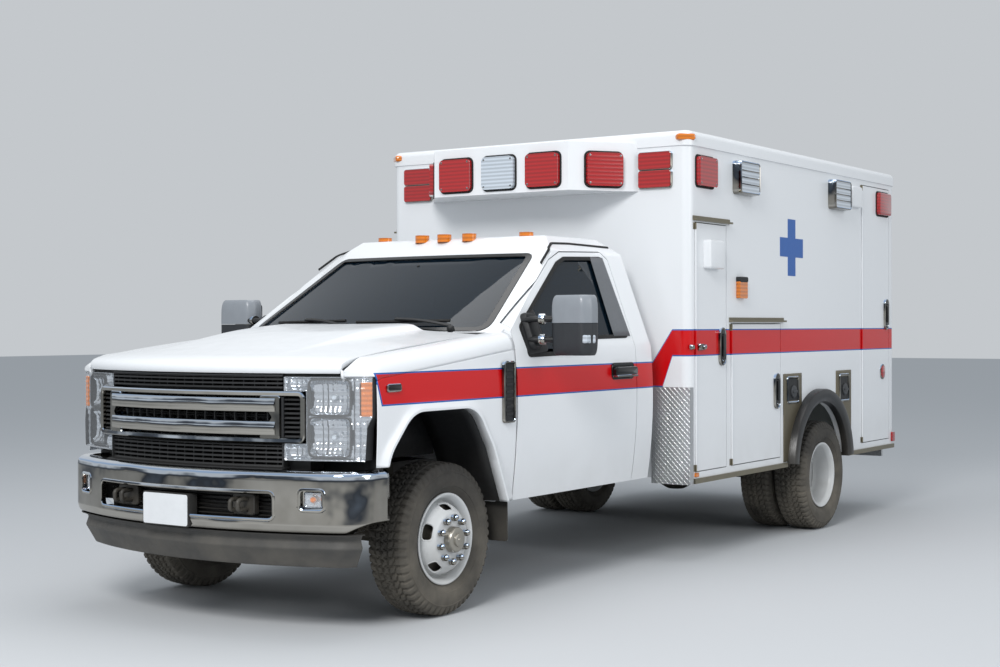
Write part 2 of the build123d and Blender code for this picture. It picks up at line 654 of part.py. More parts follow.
def body_outer(grow_by, z0, z1):
    """Rounded plan of the box between two heights."""
    sketch = Polygon(*rect(-BODY_HALF - grow_by, BODY_HALF + grow_by, BODY_FRONT - grow_by, BODY_REAR + grow_by),
                     align=None)
    sketch = fillet(sketch.vertices(), BODY_CORNER)
    return extrude(Plane.XY.offset(z0) * sketch, z1 - z0)


def body_shell():
    """Walls, front, rear frame, floor and roof of the hollow box."""
    inner = slab(-BODY_HALF + BODY_WALL, BODY_HALF - BODY_WALL, BODY_FRONT + BODY_WALL, BODY_REAR - BODY_WALL, 0, 3000)
    ring = body_outer(0, BODY_BOTTOM, BODY_LIP) - inner
    corner = BODY_CORNER + 4
    front = ring & slab(-1200, 1200, BODY_FRONT - 5, BODY_FRONT + corner, 0, 3000)
    rear = ring & slab(-1200, 1200, BODY_REAR - corner, BODY_REAR + 5, 0, 3000)
    side = ring & slab(0, 1200, BODY_FRONT + corner, BODY_REAR - corner, 0, 3000)
    arch = rod((1000, WHEELBASE, AXLE_Z + 30), (1300, WHEELBASE, AXLE_Z + 30), ARCH_RADIUS)
    side -= arch
    side -= slab(1000, 1300, WHEELBASE - ARCH_RADIUS, WHEELBASE + ARCH_RADIUS, 400, AXLE_Z + 30)
    left = side
    right = other_side(side)
    for y0, y1, z0, z1 in LEFT_LOCKERS.values():
        left -= slab(1000, 1300, y0 - DOOR_GAP, y1 + DOOR_GAP, z0 - DOOR_GAP, z1 + DOOR_GAP)
    for y0, y1, z0, z1 in RIGHT_LOCKERS.values():
        right -= slab(-1300, -1000, y0 - DOOR_GAP, y1 + DOOR_GAP, z0 - DOOR_GAP, z1 + DOOR_GAP)
    rear -= slab(-REAR_DOOR_HALF - DOOR_GAP, REAR_DOOR_HALF + DOOR_GAP, BODY_REAR - 100, BODY_REAR + 10,
                 REAR_DOOR_Z[0] - DOOR_GAP, REAR_DOOR_Z[1] + DOOR_GAP)
    nose = plan_prism([(-LAMP_NOSE_ROOT, BODY_FRONT + 2), (-LAMP_NOSE_HALF, BODY_FRONT - LAMP_NOSE_DEPTH),
                       (LAMP_NOSE_HALF, BODY_FRONT - LAMP_NOSE_DEPTH), (LAMP_NOSE_ROOT, BODY_FRONT + 2)],
                      LAMP_NOSE_BOTTOM, LAMP_NOSE_TOP)
    under = slab(LOCKER_DEPTH - BODY_HALF, BODY_HALF - LOCKER_DEPTH, BODY_FRONT - 10, BODY_FRONT + 100, 0,
                 FLOOR_TOP - FLOOR_THICK - RUN_GAP)
    save("body_front_wall", front + nose - under)
    save("body_rear_frame", rear)
    save("body_left_wall", left)
    save("body_right_wall", right)

    roof = body_outer(LIP_OVERHANG, BODY_LIP, BODY_TOP)
    roof = fillet(roof.faces().sort_by(Axis.Z)[-1].edges(), 42)
    roof -= slab(-BODY_HALF + 60, BODY_HALF - 60, BODY_FRONT + 60, BODY_REAR - 60, BODY_LIP - 5, BODY_TOP - 45)
    roof -= nose
    save("body_roof", roof)
    floor_in = BODY_WALL + RUN_GAP
    floor_half = BODY_HALF - LOCKER_DEPTH - RUN_GAP
    floor = slab(-floor_half, floor_half, BODY_FRONT + floor_in, BODY_REAR - DOOR_THICK - DOOR_GAP,
                 FLOOR_TOP - FLOOR_THICK, FLOOR_TOP)
    for side in (1, -1):
        x0, x1 = sorted((side * 320, side * RAIL_HALF))
        floor += slab(x0, x1, BODY_FRONT + 100, BODY_REAR - 200, RAIL_TOP + RUN_GAP, FLOOR_TOP - FLOOR_THICK)
    save("body_floor", floor)


WELL_FRONT = 3740
WELL_TOP = 960
COUNTER_TOP = 1180
BENCH_TOP = 1110


def body_interior():
    """Locker walls and wheel boxes inside the skin, bench and cabinets."""
    x_in = BODY_HALF - LOCKER_DEPTH
    x_out = BODY_HALF - BODY_WALL - RUN_GAP
    top = BODY_LIP - RUN_GAP
    y_front = BODY_FRONT + BODY_WALL + RUN_GAP
    y_rear = BODY_REAR - BODY_WALL - RUN_GAP
    pieces = []
    for side, lockers in ((1, LEFT_LOCKERS), (-1, RIGHT_LOCKERS)):
        def wall(a0, a1, y0, y1, z0, z1):
            x0, x1 = sorted((side * a0, side * a1))
            return slab(x0, x1, y0, y1, z0, z1)
        front, rear = lockers["front"], lockers["rear"]
        f1 = front[1] + 30
        r0 = rear[0] - 30 - LOCKER_WALL
        shape = wall(x_in, x_in + LOCKER_WALL, y_front, f1, BODY_BOTTOM, front[3] + 40)
        shape += wall(x_in, x_out, f1, f1 + LOCKER_WALL, BODY_BOTTOM, front[3] + 40)
        shape += wall(x_in, x_out, y_front, f1, BODY_BOTTOM, BODY_BOTTOM + LOCKER_WALL)
        shape += wall(x_in, x_out, y_front, f1 + LOCKER_WALL, front[3] + 20, front[3] + 40)
        shape += wall(x_in, x_in + LOCKER_WALL, f1, WELL_FRONT + 5, BODY_BOTTOM, FLOOR_TOP)
        shape += wall(x_in, x_out, f1, WELL_FRONT + 5, BODY_BOTTOM, BODY_BOTTOM + LOCKER_WALL)
        shape += wall(x_in, x_in + LOCKER_WALL, WELL_FRONT, r0 + 5, BODY_BOTTOM, WELL_TOP)
        shape += wall(x_in, x_out, WELL_FRONT, WELL_FRONT + LOCKER_WALL, BODY_BOTTOM, WELL_TOP)
        shape += wall(x_in, x_out, WELL_FRONT, r0 + 5, WELL_TOP - LOCKER_WALL, WELL_TOP)
        shape += wall(x_in, x_in + LOCKER_WALL, r0, y_rear, BODY_BOTTOM, rear[3] + 20)
        shape += wall(x_in, x_out, r0, r0 + LOCKER_WALL, BODY_BOTTOM, rear[3] + 20)
        shape += wall(x_in, x_out, r0, y_rear, BODY_BOTTOM, BODY_BOTTOM + LOCKER_WALL)
        shape += wall(x_in, x_out, r0, y_rear, rear[3] + 10, rear[3] + 30)
        if side == 1:
            middle = lockers["middle"]
            m1 = middle[1] + 30
            shape += wall(x_in, x_in + LOCKER_WALL, f1, m1, BODY_BOTTOM, middle[3] + 40)
            shape += wall(x_in, x_out, m1, m1 + LOCKER_WALL, BODY_BOTTOM, middle[3] + 40)
            shape += wall(x_in, x_out, f1, m1 + LOCKER_WALL, middle[3] + 20, middle[3] + 40)
            shape += wall(x_in, x_out, m1, r0 + 5, WELL_TOP - 5, COUNTER_TOP)
            shape += wall(x_in, x_out - 60, m1, r0 + 5, 1800, 2400)
            shape += wall(x_out - 80, x_out, m1 + 200, m1 + 240, COUNTER_TOP - 5, 1805)
        else:
            shape += wall(x_in, x_out, WELL_FRONT + 120, r0 + 5, WELL_TOP - 5, BENCH_TOP)
        pieces.append(shape)
    save("body_interior", pieces)


def locker_door(name, side, y0, y1, z0, z1, window=None, hinge_front=True):
    """Pan door: skin flush with the wall, narrower pan behind it, piano hinge and paddle handle."""
    x_skin = BODY_HALF
    door = slab(x_skin - 18, x_skin, y0, y1, z0, z1)
    door += slab(x_skin - DOOR_THICK, x_skin - 17, y0 + 16, y1 - 16, z0 + 16, z1 - 16)
    hinge_y = y0 - DOOR_GAP / 2 if hinge_front else y1 + DOOR_GAP / 2
    barrel = rod((x_skin + HINGE_OUT, hinge_y, z0 + HINGE_END), (x_skin + HINGE_OUT, hinge_y, z1 - HINGE_END), HINGE_RADIUS)
    leaf_y0, leaf_y1 = sorted((hinge_y, hinge_y + (30 if hinge_front else -30)))
    barrel += slab(x_skin - 1, x_skin + 3, leaf_y0, leaf_y1, z0 + HINGE_END, z1 - HINGE_END)
    door += barrel
    latch_y = y1 - 70 if hinge_front else y0 + 70
    door += Pos(x_skin + 4, latch_y, z0 + (z1 - z0) * 0.5) * Box(16, 70, 170)
    if window:
        door -= slab(x_skin - 100, x_skin + 20, window[0], window[1], window[2], window[3])
    if side < 0:
        door = other_side(door)
    save(name, door)


def body_doors():
    for key, size in LEFT_LOCKERS.items():
        locker_door(f"locker_door_left_{key}", 1, *size)
    for key in ("front", "rear"):
        locker_door(f"locker_door_right_{key}", -1, *RIGHT_LOCKERS[key])
    locker_door("entry_door_right", -1, *RIGHT_LOCKERS["entry"], window=SIDE_WINDOW)
    z0, z1 = REAR_DOOR_Z
    door = slab(3, REAR_DOOR_HALF, BODY_REAR - 18, BODY_REAR, z0, z1)
    door += slab(19, REAR_DOOR_HALF - 16, BODY_REAR - DOOR_THICK, BODY_REAR - 17, z0 + 16, z1 - 16)
    x = REAR_DOOR_HALF + DOOR_GAP / 2
    door += rod((x, BODY_REAR + HINGE_OUT, z0 + HINGE_END), (x, BODY_REAR + HINGE_OUT, z1 - HINGE_END), HINGE_RADIUS)
    door += slab(x - 30, x, BODY_REAR - 1, BODY_REAR + 3, z0 + HINGE_END, z1 - HINGE_END)
    door -= slab(REAR_WINDOW[0], REAR_WINDOW[1], BODY_REAR - 100, BODY_REAR + 20, REAR_WINDOW[2], REAR_WINDOW[3])
    save("rear_door_left", door)
    save("rear_door_right", other_side(door))


def body_trim():
    """Rub rails, drip rails over the doors, filler plates and hinge seats."""
    pieces = []
    face = BODY_HALF + RUN_GAP
    bottom = BODY_BOTTOM - RUB_RAIL_HEIGHT
    arch0, arch1 = WHEELBASE - ARCH_RADIUS - FLARE_WIDTH - 5, WHEELBASE + ARCH_RADIUS + FLARE_WIDTH + 5
    for y0, y1 in ((BODY_FRONT + 60, arch0), (arch1, BODY_REAR - 30)):
        pieces += both(slab(BODY_HALF - 60, BODY_HALF + 12, y0, y1, bottom, BODY_BOTTOM - RUN_GAP))
    for side, lockers in ((1, LEFT_LOCKERS), (-1, RIGHT_LOCKERS)):
        for y0, y1, z0, z1 in lockers.values():
            if z1 < 2500:
                rail = slab(face, face + 28, y0 - 34, y1 + 50, z1 + 14, z1 + 26)
                rail += slab(face, face + 6, y0 - 34, y1 + 50, z1 + 14, z1 + 44)
                pieces.append(rail if side > 0 else other_side(rail))
            for za, zb in ((z0, z0 + HINGE_END - RUN_GAP), (z1 - HINGE_END + RUN_GAP, z1)):
                y = y0 - DOOR_GAP / 2
                seat_ = rod((BODY_HALF + HINGE_OUT, y, za), (BODY_HALF + HINGE_OUT, y, zb), HINGE_RADIUS)
                seat_ += slab(face, BODY_HALF + 3, y0 - 30, y, za, zb)
                pieces.append(seat_ if side > 0 else other_side(seat_))
    z0, z1 = REAR_DOOR_Z
    for za, zb in ((z0, z0 + HINGE_END - RUN_GAP), (z1 - HINGE_END + RUN_GAP, z1)):
        x = REAR_DOOR_HALF + DOOR_GAP / 2
        seat_ = rod((x, BODY_REAR + HINGE_OUT, za), (x, BODY_REAR + HINGE_OUT, zb), HINGE_RADIUS)
        seat_ += slab(x, x + 30, BODY_REAR + RUN_GAP, BODY_REAR + 3, za, zb)
        pieces += both(seat_)
    for y0, y1 in ((3676, 3850), (4745, 4932)):
        pieces.append(slab(face, face + 4, y0, y1, 860, 1145))
    save("trim_rails", pieces)


def flares():
    """Rubber wheel arch flares and mud flaps."""
    z = AXLE_Z + 30
    outer = rod((BODY_HALF + RUN_GAP, WHEELBASE, z), (BODY_HALF + FLARE_WIDTH, WHEELBASE, z), ARCH_RADIUS + 58)
    outer += slab(BODY_HALF + RUN_GAP, BODY_HALF + FLARE_WIDTH, WHEELBASE - ARCH_RADIUS - 58,
                  WHEELBASE + ARCH_RADIUS + 58, BODY_BOTTOM - RUB_RAIL_HEIGHT, z)
    outer -= rod((BODY_HALF - 5, WHEELBASE, z), (BODY_HALF + FLARE_WIDTH + 5, WHEELBASE, z), ARCH_RADIUS - 2)
    outer -= slab(BODY_HALF - 5, BODY_HALF + FLARE_WIDTH + 5, WHEELBASE - ARCH_RADIUS + 2, WHEELBASE + ARCH_RADIUS - 2, 300, z)
    outer &= slab(BODY_HALF, BODY_HALF + 200, 0, 8000, BODY_BOTTOM - RUB_RAIL_HEIGHT, 2000)
    flap = slab(800, 985, 478, 486, 330, CAB_SILL - RUN_GAP)
    rear_flap = slab(BODY_HALF - LOCKER_DEPTH + LOCKER_WALL + RUN_GAP, BODY_HALF - BODY_WALL - RUN_GAP, WHEELBASE + ARCH_RADIUS + 20, WHEELBASE + ARCH_RADIUS + 28, 250, BODY_BOTTOM + 10)
    save("rubber_flares", both(outer), both(flap), both(rear_flap))


def lamps():
    """Red, clear and amber lamps of the body, by their faces."""
    front = BODY_FRONT - RUN_GAP
    nose_front = BODY_FRONT - LAMP_NOSE_DEPTH - RUN_GAP
    red, clear, amber = [], [], []
    for x in (-338, 338):
        red.append(front_prism(rect(x - 122, x + 122, 2368, 2578), nose_front - 32, nose_front, 30))
    clear.append(front_prism(rect(-122, 122, 2368, 2578), nose_front - 32, nose_front, 30))
    run = Vector(LAMP_NOSE_ROOT - LAMP_NOSE_HALF, LAMP_NOSE_DEPTH, 0)
    middle = Vector((LAMP_NOSE_ROOT + LAMP_NOSE_HALF) / 2, BODY_FRONT - LAMP_NOSE_DEPTH / 2, 2473)
    plane = Plane(origin=middle, x_dir=run, z_dir=Vector(run.Y, -run.X, 0))
    angled = extrude(plane.offset(RUN_GAP) * fillet(Rectangle(244, 210).vertices(), 30), 32)
    red += both(angled)
    for z in (2358, 2474):
        red += both(front_prism(rect(822, 1048, z, z + 106), front - 28, front, 14))
    side_x = BODY_HALF + RUN_GAP
    for y0, y1 in ((2345, 2590),):
        red += both(side_prism(rect(y0, y1, 2368, 2553), side_x, side_x + 34, 22))
    for y0, y1 in ((2885, 3170), (4505, 4800)):
        clear += both(side_prism(rect(y0, y1, 2362, 2562), side_x, side_x + 58, 25))
    rear = BODY_REAR + RUN_GAP
    for x in (-950, 950):
        red.append(front_prism(rect(x - 120, x + 120, 2330, 2530), rear, rear + 34, 22))
        red.append(front_prism(rect(x - 90, x + 90, 930, 1090), rear, rear + 30, 22))
        clear.append(front_prism(rect(x - 90, x + 90, 740, 900), rear, rear + 30, 22))
        amber.append(front_prism(rect(x - 90, x + 90, 1120, 1280), rear, rear + 30, 22))
    red += both(side_prism(rect(5800, 5850, 545, 620), side_x, side_x + 16, 8))
    amber += both(side_prism(rect(2318, 2360, 535, 562), side_x, side_x + 12, 6))
    amber.append(side_prism(rect(2925, 3040, 1665, 1805), side_x, side_x + 30, 12))
    for x, y in ((0, 1257), (-178, 1269), (178, 1269), (-537, 1353), (537, 1353)):
        amber.append(Pos(x, y + 10, 2000) * Cylinder(44, 48, align=(Align.CENTER, Align.CENTER, Align.MIN)) - cab_house(-RUN_GAP))
    save("red_lamps", red)
    save("clear_lamps", clear)
    save("amber_lamps", amber)


def plates_and_step():
    """Diamond-plate corner guards, rear kick plate and the rear step."""
    guard = slab(899, BODY_HALF + 3, BODY_FRONT - 3, BODY_FRONT + 50, 490, 1100)
    guard -= body_outer(RUN_GAP, 400, 1200)
    kick = slab(-BODY_HALF + 40, BODY_HALF - 40, BODY_REAR + RUN_GAP, BODY_REAR + 4, 530, 720)
    save("tread_plates", both(guard), kick)
    step = slab(-1000, 1000, BODY_REAR + 12, REAR_REACH, 455, 500)
    step += slab(-1000, 1000, REAR_REACH - 30, REAR_REACH, 400, 500)
    for side in (1, -1):
        x0, x1 = sorted((side * (RAIL_HALF - 70), side * (RAIL_HALF - 20)))
        step += slab(x0, x1, FRAME_REAR + RUN_GAP, BODY_REAR + 60, 455, 500)
        step += slab(x0, x1, FRAME_REAR + RUN_GAP, FRAME_REAR + 20, 455, RAIL_TOP - 20)
    save("rear_step", step)


chassis_frame()
front_axle()
rear_axle()
engine_block()
exhaust_and_tank()
wheels()
knuckles()
cab()
mirrors()
cab_inside()
hood()
fenders()
front_bumper()
air_dam()
grille()
headlamps()
cowl()
body_shell()
body_interior()
body_doors()
body_trim()
flares()
lamps()
plates_and_step()
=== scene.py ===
"""Box-bodied ambulance on a heavy pickup chassis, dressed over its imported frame.

Everything is in metres in the frame's own axes: -Y is the front of the vehicle, +X its left side, +Z up.
AXLE is the y of the front axle, and most places are given as a distance behind it.
"""

import json
import math

import bpy
import numpy as np
from bpy.props import FloatProperty, FloatVectorProperty, PointerProperty
from mathutils import Matrix


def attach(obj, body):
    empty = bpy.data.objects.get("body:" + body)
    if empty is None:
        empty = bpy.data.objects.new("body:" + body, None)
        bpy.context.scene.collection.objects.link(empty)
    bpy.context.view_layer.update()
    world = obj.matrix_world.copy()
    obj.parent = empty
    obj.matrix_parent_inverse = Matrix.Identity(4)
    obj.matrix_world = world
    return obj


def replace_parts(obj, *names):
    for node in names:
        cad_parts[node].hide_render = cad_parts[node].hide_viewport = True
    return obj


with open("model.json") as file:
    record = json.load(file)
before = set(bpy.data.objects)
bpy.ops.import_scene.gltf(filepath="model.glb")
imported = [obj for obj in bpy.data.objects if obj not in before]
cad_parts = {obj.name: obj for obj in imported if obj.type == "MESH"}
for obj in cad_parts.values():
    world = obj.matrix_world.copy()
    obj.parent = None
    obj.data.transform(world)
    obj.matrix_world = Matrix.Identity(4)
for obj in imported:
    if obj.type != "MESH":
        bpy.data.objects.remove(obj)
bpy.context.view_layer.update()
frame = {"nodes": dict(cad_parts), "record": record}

bl_info = {"name": "Box-bodied ambulance", "version": (1, 0, 0), "blender": (4, 5, 0),
    "location": "View3D > Sidebar > Ambulance",
    "description": "Dresses the packed frame of an ambulance with its paint, lamps, tyres and trim",
    "category": "Object",}

AXLE = -2.525
WHEELBASE = 4.3
AXLE_Z = 0.395
BOX_SIDE = 1.168
BOX_FRONT = AXLE + 2.253
REAR_FACE = 5.88
SIDES = (1, -1)
PHOTO = (1000, 667)
CAMERA_AT = (5.664, AXLE - 6.501, 1.486)
CAMERA_TURN = (math.radians(34.076), math.radians(-0.269), math.radians(-0.142))
CAMERA_PIXELS = 1566.5
SENSOR = 36.0


class AmbulanceColours(bpy.types.PropertyGroup):
    """Colours of paint, lenses and trim."""

    def shade(name, text, code):
        rgb = [int(code[k:k + 2], 16) / 255 for k in (1, 3, 5)]
        return FloatVectorProperty(name=name, description=text, default=rgb, size=3, min=0, max=1,
            subtype="COLOR_GAMMA")

    paint: shade("Paint", "Body paint", "#E6E8EA")
    stripe: shade("Stripe", "Wide stripe round the body", "#C8060C")
    border: shade("Border", "Thin lines beside the stripe", "#1D5BA6")
    red: shade("Red lens", "Warning lamp lens", "#B00D12")
    amber: shade("Amber lens", "Marker lamp lens", "#E07A0A")


class AmbulanceSizes(bpy.types.PropertyGroup):
    """Sizes of the added pieces, in metres."""

    tread_depth: FloatProperty(name="Tread depth", description="Depth of the tyre's grooves", default=0.011,
        unit="LENGTH")
    border_width: FloatProperty(name="Border width", description="Width of the thin line beside the stripe",
        default=0.008, unit="LENGTH")


def linear(code):
    """sRGB hex, or three sRGB values, to linear RGBA."""
    rgb = [int(code[k:k + 2], 16) / 255 for k in (1, 3, 5)] if isinstance(code, str) else list(code)
    return [c / 12.92 if c <= 0.04045 else ((c + 0.055) / 1.055) ** 2.4 for c in rgb] + [1.0]


def node(tree, kind, inputs=(), **settings):
    """Adds one node with its settings; an input is a value, an output, or a node for its first output."""
    made = tree.nodes.new(kind)
    for name, value in settings.items():
        setattr(made, name, value)
    for key, value in dict(inputs).items():
        if isinstance(value, (bpy.types.Node, bpy.types.NodeSocket)):
            tree.links.new(getattr(value, "outputs", [value])[0], made.inputs[key])
        else:
            made.inputs[key].default_value = value
    return made


def start(name):
    """Empty material: the material, its tree and Object coordinates."""
    made = bpy.data.materials.new(name)
    made.use_nodes = True
    made.node_tree.nodes.clear()
    return made, made.node_tree, node(made.node_tree, "ShaderNodeTexCoord").outputs["Object"]


def principled(made, tree, **inputs):
    """Ends a material in one Principled shader; names use _ for a space."""
    values = {key.replace("_", " "): value for key, value in inputs.items()}
    shader = node(tree, "ShaderNodeBsdfPrincipled", values)
    node(tree, "ShaderNodeOutputMaterial", {"Surface": shader})
    return made


def grain(tree, coord, size_mm, detail=2.0):
    """Noise whose lumps are about size_mm across."""
    return node(tree, "ShaderNodeTexNoise", {"Vector": coord, "Scale": 1000 / size_mm, "Detail": detail,
            "Roughness": 0.5}).outputs["Fac"]


def bumped(tree, height, depth_mm, strength):
    """Normal of a height field that is depth_mm deep."""
    return node(tree, "ShaderNodeBump", {"Height": height, "Distance": depth_mm / 1000,
            "Strength": strength}).outputs["Normal"]


def dirtied(tree, coord, colour, most=0.35):
    """Road dust that thickens from 0.9 m high down to 0.3 m, in soft blotches."""
    z = node(tree, "ShaderNodeSeparateXYZ", {0: coord}).outputs[2]
    low = node(tree, "ShaderNodeMapRange", {"Value": z, "From Min": 0.9, "From Max": 0.3, "To Max": most})
    blotch = grain(tree, coord, 160, 5)
    amount = node(tree, "ShaderNodeMath", {0: low, 1: blotch}, operation="MULTIPLY")
    return node(tree, "ShaderNodeMix", {0: amount, 6: colour, 7: linear("#8F8779")},
        data_type="RGBA").outputs[2]


def edged_band(tree, z, low, high):
    """Masks of a band between two heights, and of the same band with a thin line on both edges."""
    masks = []
    for spare in (0.0, bpy.context.scene.ambulance_sizes.border_width):
        bottom = node(tree, "ShaderNodeMath", {0: low, 1: spare}, operation="SUBTRACT")
        top = node(tree, "ShaderNodeMath", {0: high, 1: spare}, operation="ADD")
        above = node(tree, "ShaderNodeMath", {0: z, 1: bottom}, operation="GREATER_THAN")
        below = node(tree, "ShaderNodeMath", {0: z, 1: top}, operation="LESS_THAN")
        masks.append(node(tree, "ShaderNodeMath", {0: above, 1: below}, operation="MULTIPLY"))
    return masks


def box_stripe(tree, coord):
    """Masks of the box's stripe: level on the sides, stepping down on the front wall towards the cab.

    On the front wall both edges fall on a slope from the corner inwards. Behind it x is added twice over, so
    that sides and rear stay above the slope.
    """
    split = node(tree, "ShaderNodeSeparateXYZ", {0: coord})
    x = node(tree, "ShaderNodeMath", {0: split.outputs[0]}, operation="ABSOLUTE")
    behind = node(tree, "ShaderNodeMath", {0: split.outputs[1], 1: BOX_FRONT + 0.3}, operation="GREATER_THAN")
    x = node(tree, "ShaderNodeMath", {0: behind, 1: 2.0, 2: x}, operation="MULTIPLY_ADD")
    top = node(tree, "ShaderNodeMapRange", {"Value": x, "From Min": 0.909, "From Max": 1.048, "To Min": 1.25,
            "To Max": 1.456})
    low = node(tree, "ShaderNodeMapRange", {"Value": x, "From Min": 0.979, "From Max": 1.049, "To Min": 1.107,
            "To Max": 1.302})
    return edged_band(tree, split.outputs[2], low, top)


def cab_stripe(tree, coord):
    """Masks of the cab's stripe, which starts behind the headlamp with a slant and stays off the hood."""
    split = node(tree, "ShaderNodeSeparateXYZ", {0: coord})
    slant = node(tree, "ShaderNodeMath", {0: split.outputs[2], 1: 0.3, 2: split.outputs[1]},
        operation="MULTIPLY_ADD")
    x = node(tree, "ShaderNodeMath", {0: split.outputs[0]}, operation="ABSOLUTE")
    side = node(tree, "ShaderNodeMath", {0: x, 1: 0.9}, operation="GREATER_THAN")
    masks = []
    for mask, begin in zip(edged_band(tree, split.outputs[2], 1.112, 1.257), (-0.665, -0.676)):
        begun = node(tree, "ShaderNodeMath", {0: slant, 1: AXLE + begin + 0.3 * 1.262},
            operation="GREATER_THAN")
        lit = node(tree, "ShaderNodeMath", {0: mask, 1: begun}, operation="MULTIPLY")
        masks.append(node(tree, "ShaderNodeMath", {0: lit, 1: side}, operation="MULTIPLY"))
    return masks


def gloss_paint(name, stripe=None):
    """Two-pack gloss paint, sprayed: a clear sharp reflection with a faint orange peel about 5 mm across."""
    colours = bpy.context.scene.ambulance_colours
    made, tree, coord = start(name)
    colour = dirtied(tree, coord, linear(colours.paint))
    if stripe:
        # Stripes are reflective film, cut on a plotter: a dead straight edge and a flat strong colour
        for mask, film in zip(stripe(tree, coord)[::-1], (colours.border, colours.stripe)):
            colour = node(tree, "ShaderNodeMix", {0: mask, 6: colour, 7: linear(film)},
                data_type="RGBA").outputs[2]
    rough = node(tree, "ShaderNodeMapRange",
        {"Value": grain(tree, coord, 90, 4), "To Min": 0.16, "To Max": 0.3})
    return principled(made, tree, Base_Color=colour, Roughness=rough, Coat_Weight=0.2,
        Coat_Roughness=0.05, Specular_IOR_Level=0.35,
        Normal=bumped(tree, grain(tree, coord, 5, 1), 0.05, 0.25))


def simple(name, code, rough, metal=0.0, size_mm=3.0, depth_mm=0.1, strength=0.3, vary=0.12, dust=0.25,
        **more):
    """A moulded, cast or rolled finish: soft blotches of colour, fine grain in the bump, road dust."""
    made, tree, coord = start(name)
    base = linear(code)
    darker = [c * (1 - vary) for c in base[:3]] + [1]
    colour = node(tree, "ShaderNodeMix", {0: grain(tree, coord, 60, 4), 6: base, 7: darker},
        data_type="RGBA").outputs[2]
    if dust:
        colour = dirtied(tree, coord, colour, dust)
    dull = node(tree, "ShaderNodeMapRange", {"Value": grain(tree, coord, 25, 3), "To Min": rough * 0.8,
            "To Max": min(1.0, rough * 1.25)})
    return principled(made, tree, Base_Color=colour, Roughness=dull, Metallic=metal,
        Normal=bumped(tree, grain(tree, coord, size_mm, 2), depth_mm, strength), **more)


# Painted reflection of chrome, as colours by the slope of its face: from one that looks down (painted ground)
# to one that looks up (painted sky)
PAINTED_REFLECTION_TINTS = ((0.0, "#5A5752"), (0.3, "#8E8A82"), (0.5, "#B5B1A9"), (0.58, "#938F87"), (0.605, "#3A3E44"),
    (0.635, "#59616B"), (0.665, "#D5DBE1"), (0.8, "#A3C0E6"), (1.0, "#F0F4F8"))


def chrome_with_painted_reflection(name, rough, depth_mm):
    """Chrome plate with a painted reflection: its colour is a mirror image painted by the face's slope, from
    warm ground over a dark horizon to blue sky.

    The slope is the normal's z, shifted by a slow wave so that the bands wander as on pressed metal.
    """
    made, tree, coord = start(name)
    normal = node(tree, "ShaderNodeNewGeometry").outputs["Normal"]
    slope = node(tree, "ShaderNodeSeparateXYZ", {0: normal}).outputs[2]
    height = node(tree, "ShaderNodeMath", {0: grain(tree, coord, 260, 3), 1: 0.55, 2: slope},
        operation="MULTIPLY_ADD")
    place = node(tree, "ShaderNodeMapRange", {"Value": height, "From Min": -1.0, "From Max": 1.2})
    # Painted reflection: the ramp gives the chrome's base colour ground, horizon and sky tints by its slope
    ramp = node(tree, "ShaderNodeValToRGB", {0: place})
    while len(ramp.color_ramp.elements) < len(PAINTED_REFLECTION_TINTS):
        ramp.color_ramp.elements.new(0.5)
    for element, (spot, code) in zip(ramp.color_ramp.elements, PAINTED_REFLECTION_TINTS):
        element.position, element.color = spot, linear(code)
    return principled(made, tree, Base_Color=dirtied(tree, coord, ramp, 0.15), Roughness=rough,
        Metallic=1.0, Normal=bumped(tree, grain(tree, coord, 300, 2), depth_mm, 0.15))


def tread_plate():
    """Rolled aluminium tread plate: bright crossed bars 24 mm apart that stand 1.5 mm proud."""
    made, tree, coord = start("rolled aluminium tread plate")
    split = node(tree, "ShaderNodeSeparateXYZ", {0: coord})
    across = node(tree, "ShaderNodeMath", {0: split.outputs[0], 1: split.outputs[1]}, operation="ADD")
    bars = []
    for sign in SIDES:
        turned = node(tree, "ShaderNodeMath", {0: across, 1: sign, 2: split.outputs[2]},
            operation="MULTIPLY_ADD")
        wave = node(tree, "ShaderNodeMath", {0: turned, 1: 2 * math.pi / 0.034}, operation="MULTIPLY")
        wave = node(tree, "ShaderNodeMath", {0: wave}, operation="SINE")
        bars.append(node(tree, "ShaderNodeMapRange", {"Value": wave, "From Min": 0.55, "From Max": 0.9}))
    both = node(tree, "ShaderNodeMath", {0: bars[0], 1: bars[1]}, operation="MAXIMUM")
    dull = node(tree, "ShaderNodeMapRange",
        {"Value": grain(tree, coord, 40, 3), "To Min": 0.22, "To Max": 0.42})
    return principled(made, tree, Base_Color=linear("#C9CBCC"), Metallic=1.0, Roughness=dull,
        Normal=bumped(tree, both, 1.5, 0.8))


def lens(name, code):
    """Injection-moulded acrylic: deep even colour, a wet gloss and moulded ribs 24 mm apart."""
    made, tree, coord = start(name)
    z = node(tree, "ShaderNodeSeparateXYZ", {0: coord}).outputs[2]
    wave = node(tree, "ShaderNodeMath", {0: z, 1: 2 * math.pi / 0.024}, operation="MULTIPLY")
    ribs = node(tree, "ShaderNodeMath", {0: wave}, operation="SINE")
    base = linear(code)
    dark = [c * 0.45 for c in base[:3]] + [1]
    depth = node(tree, "ShaderNodeMapRange", {"Value": ribs, "From Min": -1.0, "To Max": 0.6})
    colour = node(tree, "ShaderNodeMix", {0: depth, 6: base, 7: dark}, data_type="RGBA").outputs[2]
    return principled(made, tree, Base_Color=colour, Roughness=0.12, Coat_Weight=1.0, Coat_Roughness=0.03,
        Normal=bumped(tree, ribs, 0.6, 0.5))


def window_glass():
    """Tempered float glass with a blue tint, dark against a shaded cab: its colour is darker than its own
    tint, as painted shade of the cab behind it, with a clean reflection.
    """
    made, tree, _ = start("tinted safety glass")
    # Painted shade: the base colour is darker than the glass's own tint and stands in for the shade inside
    # the cab
    return principled(made, tree, Base_Color=linear("#1F3648"), Roughness=0.02, Transmission_Weight=0.8,
        IOR=1.4, Specular_IOR_Level=0.25)


FINISH = {}


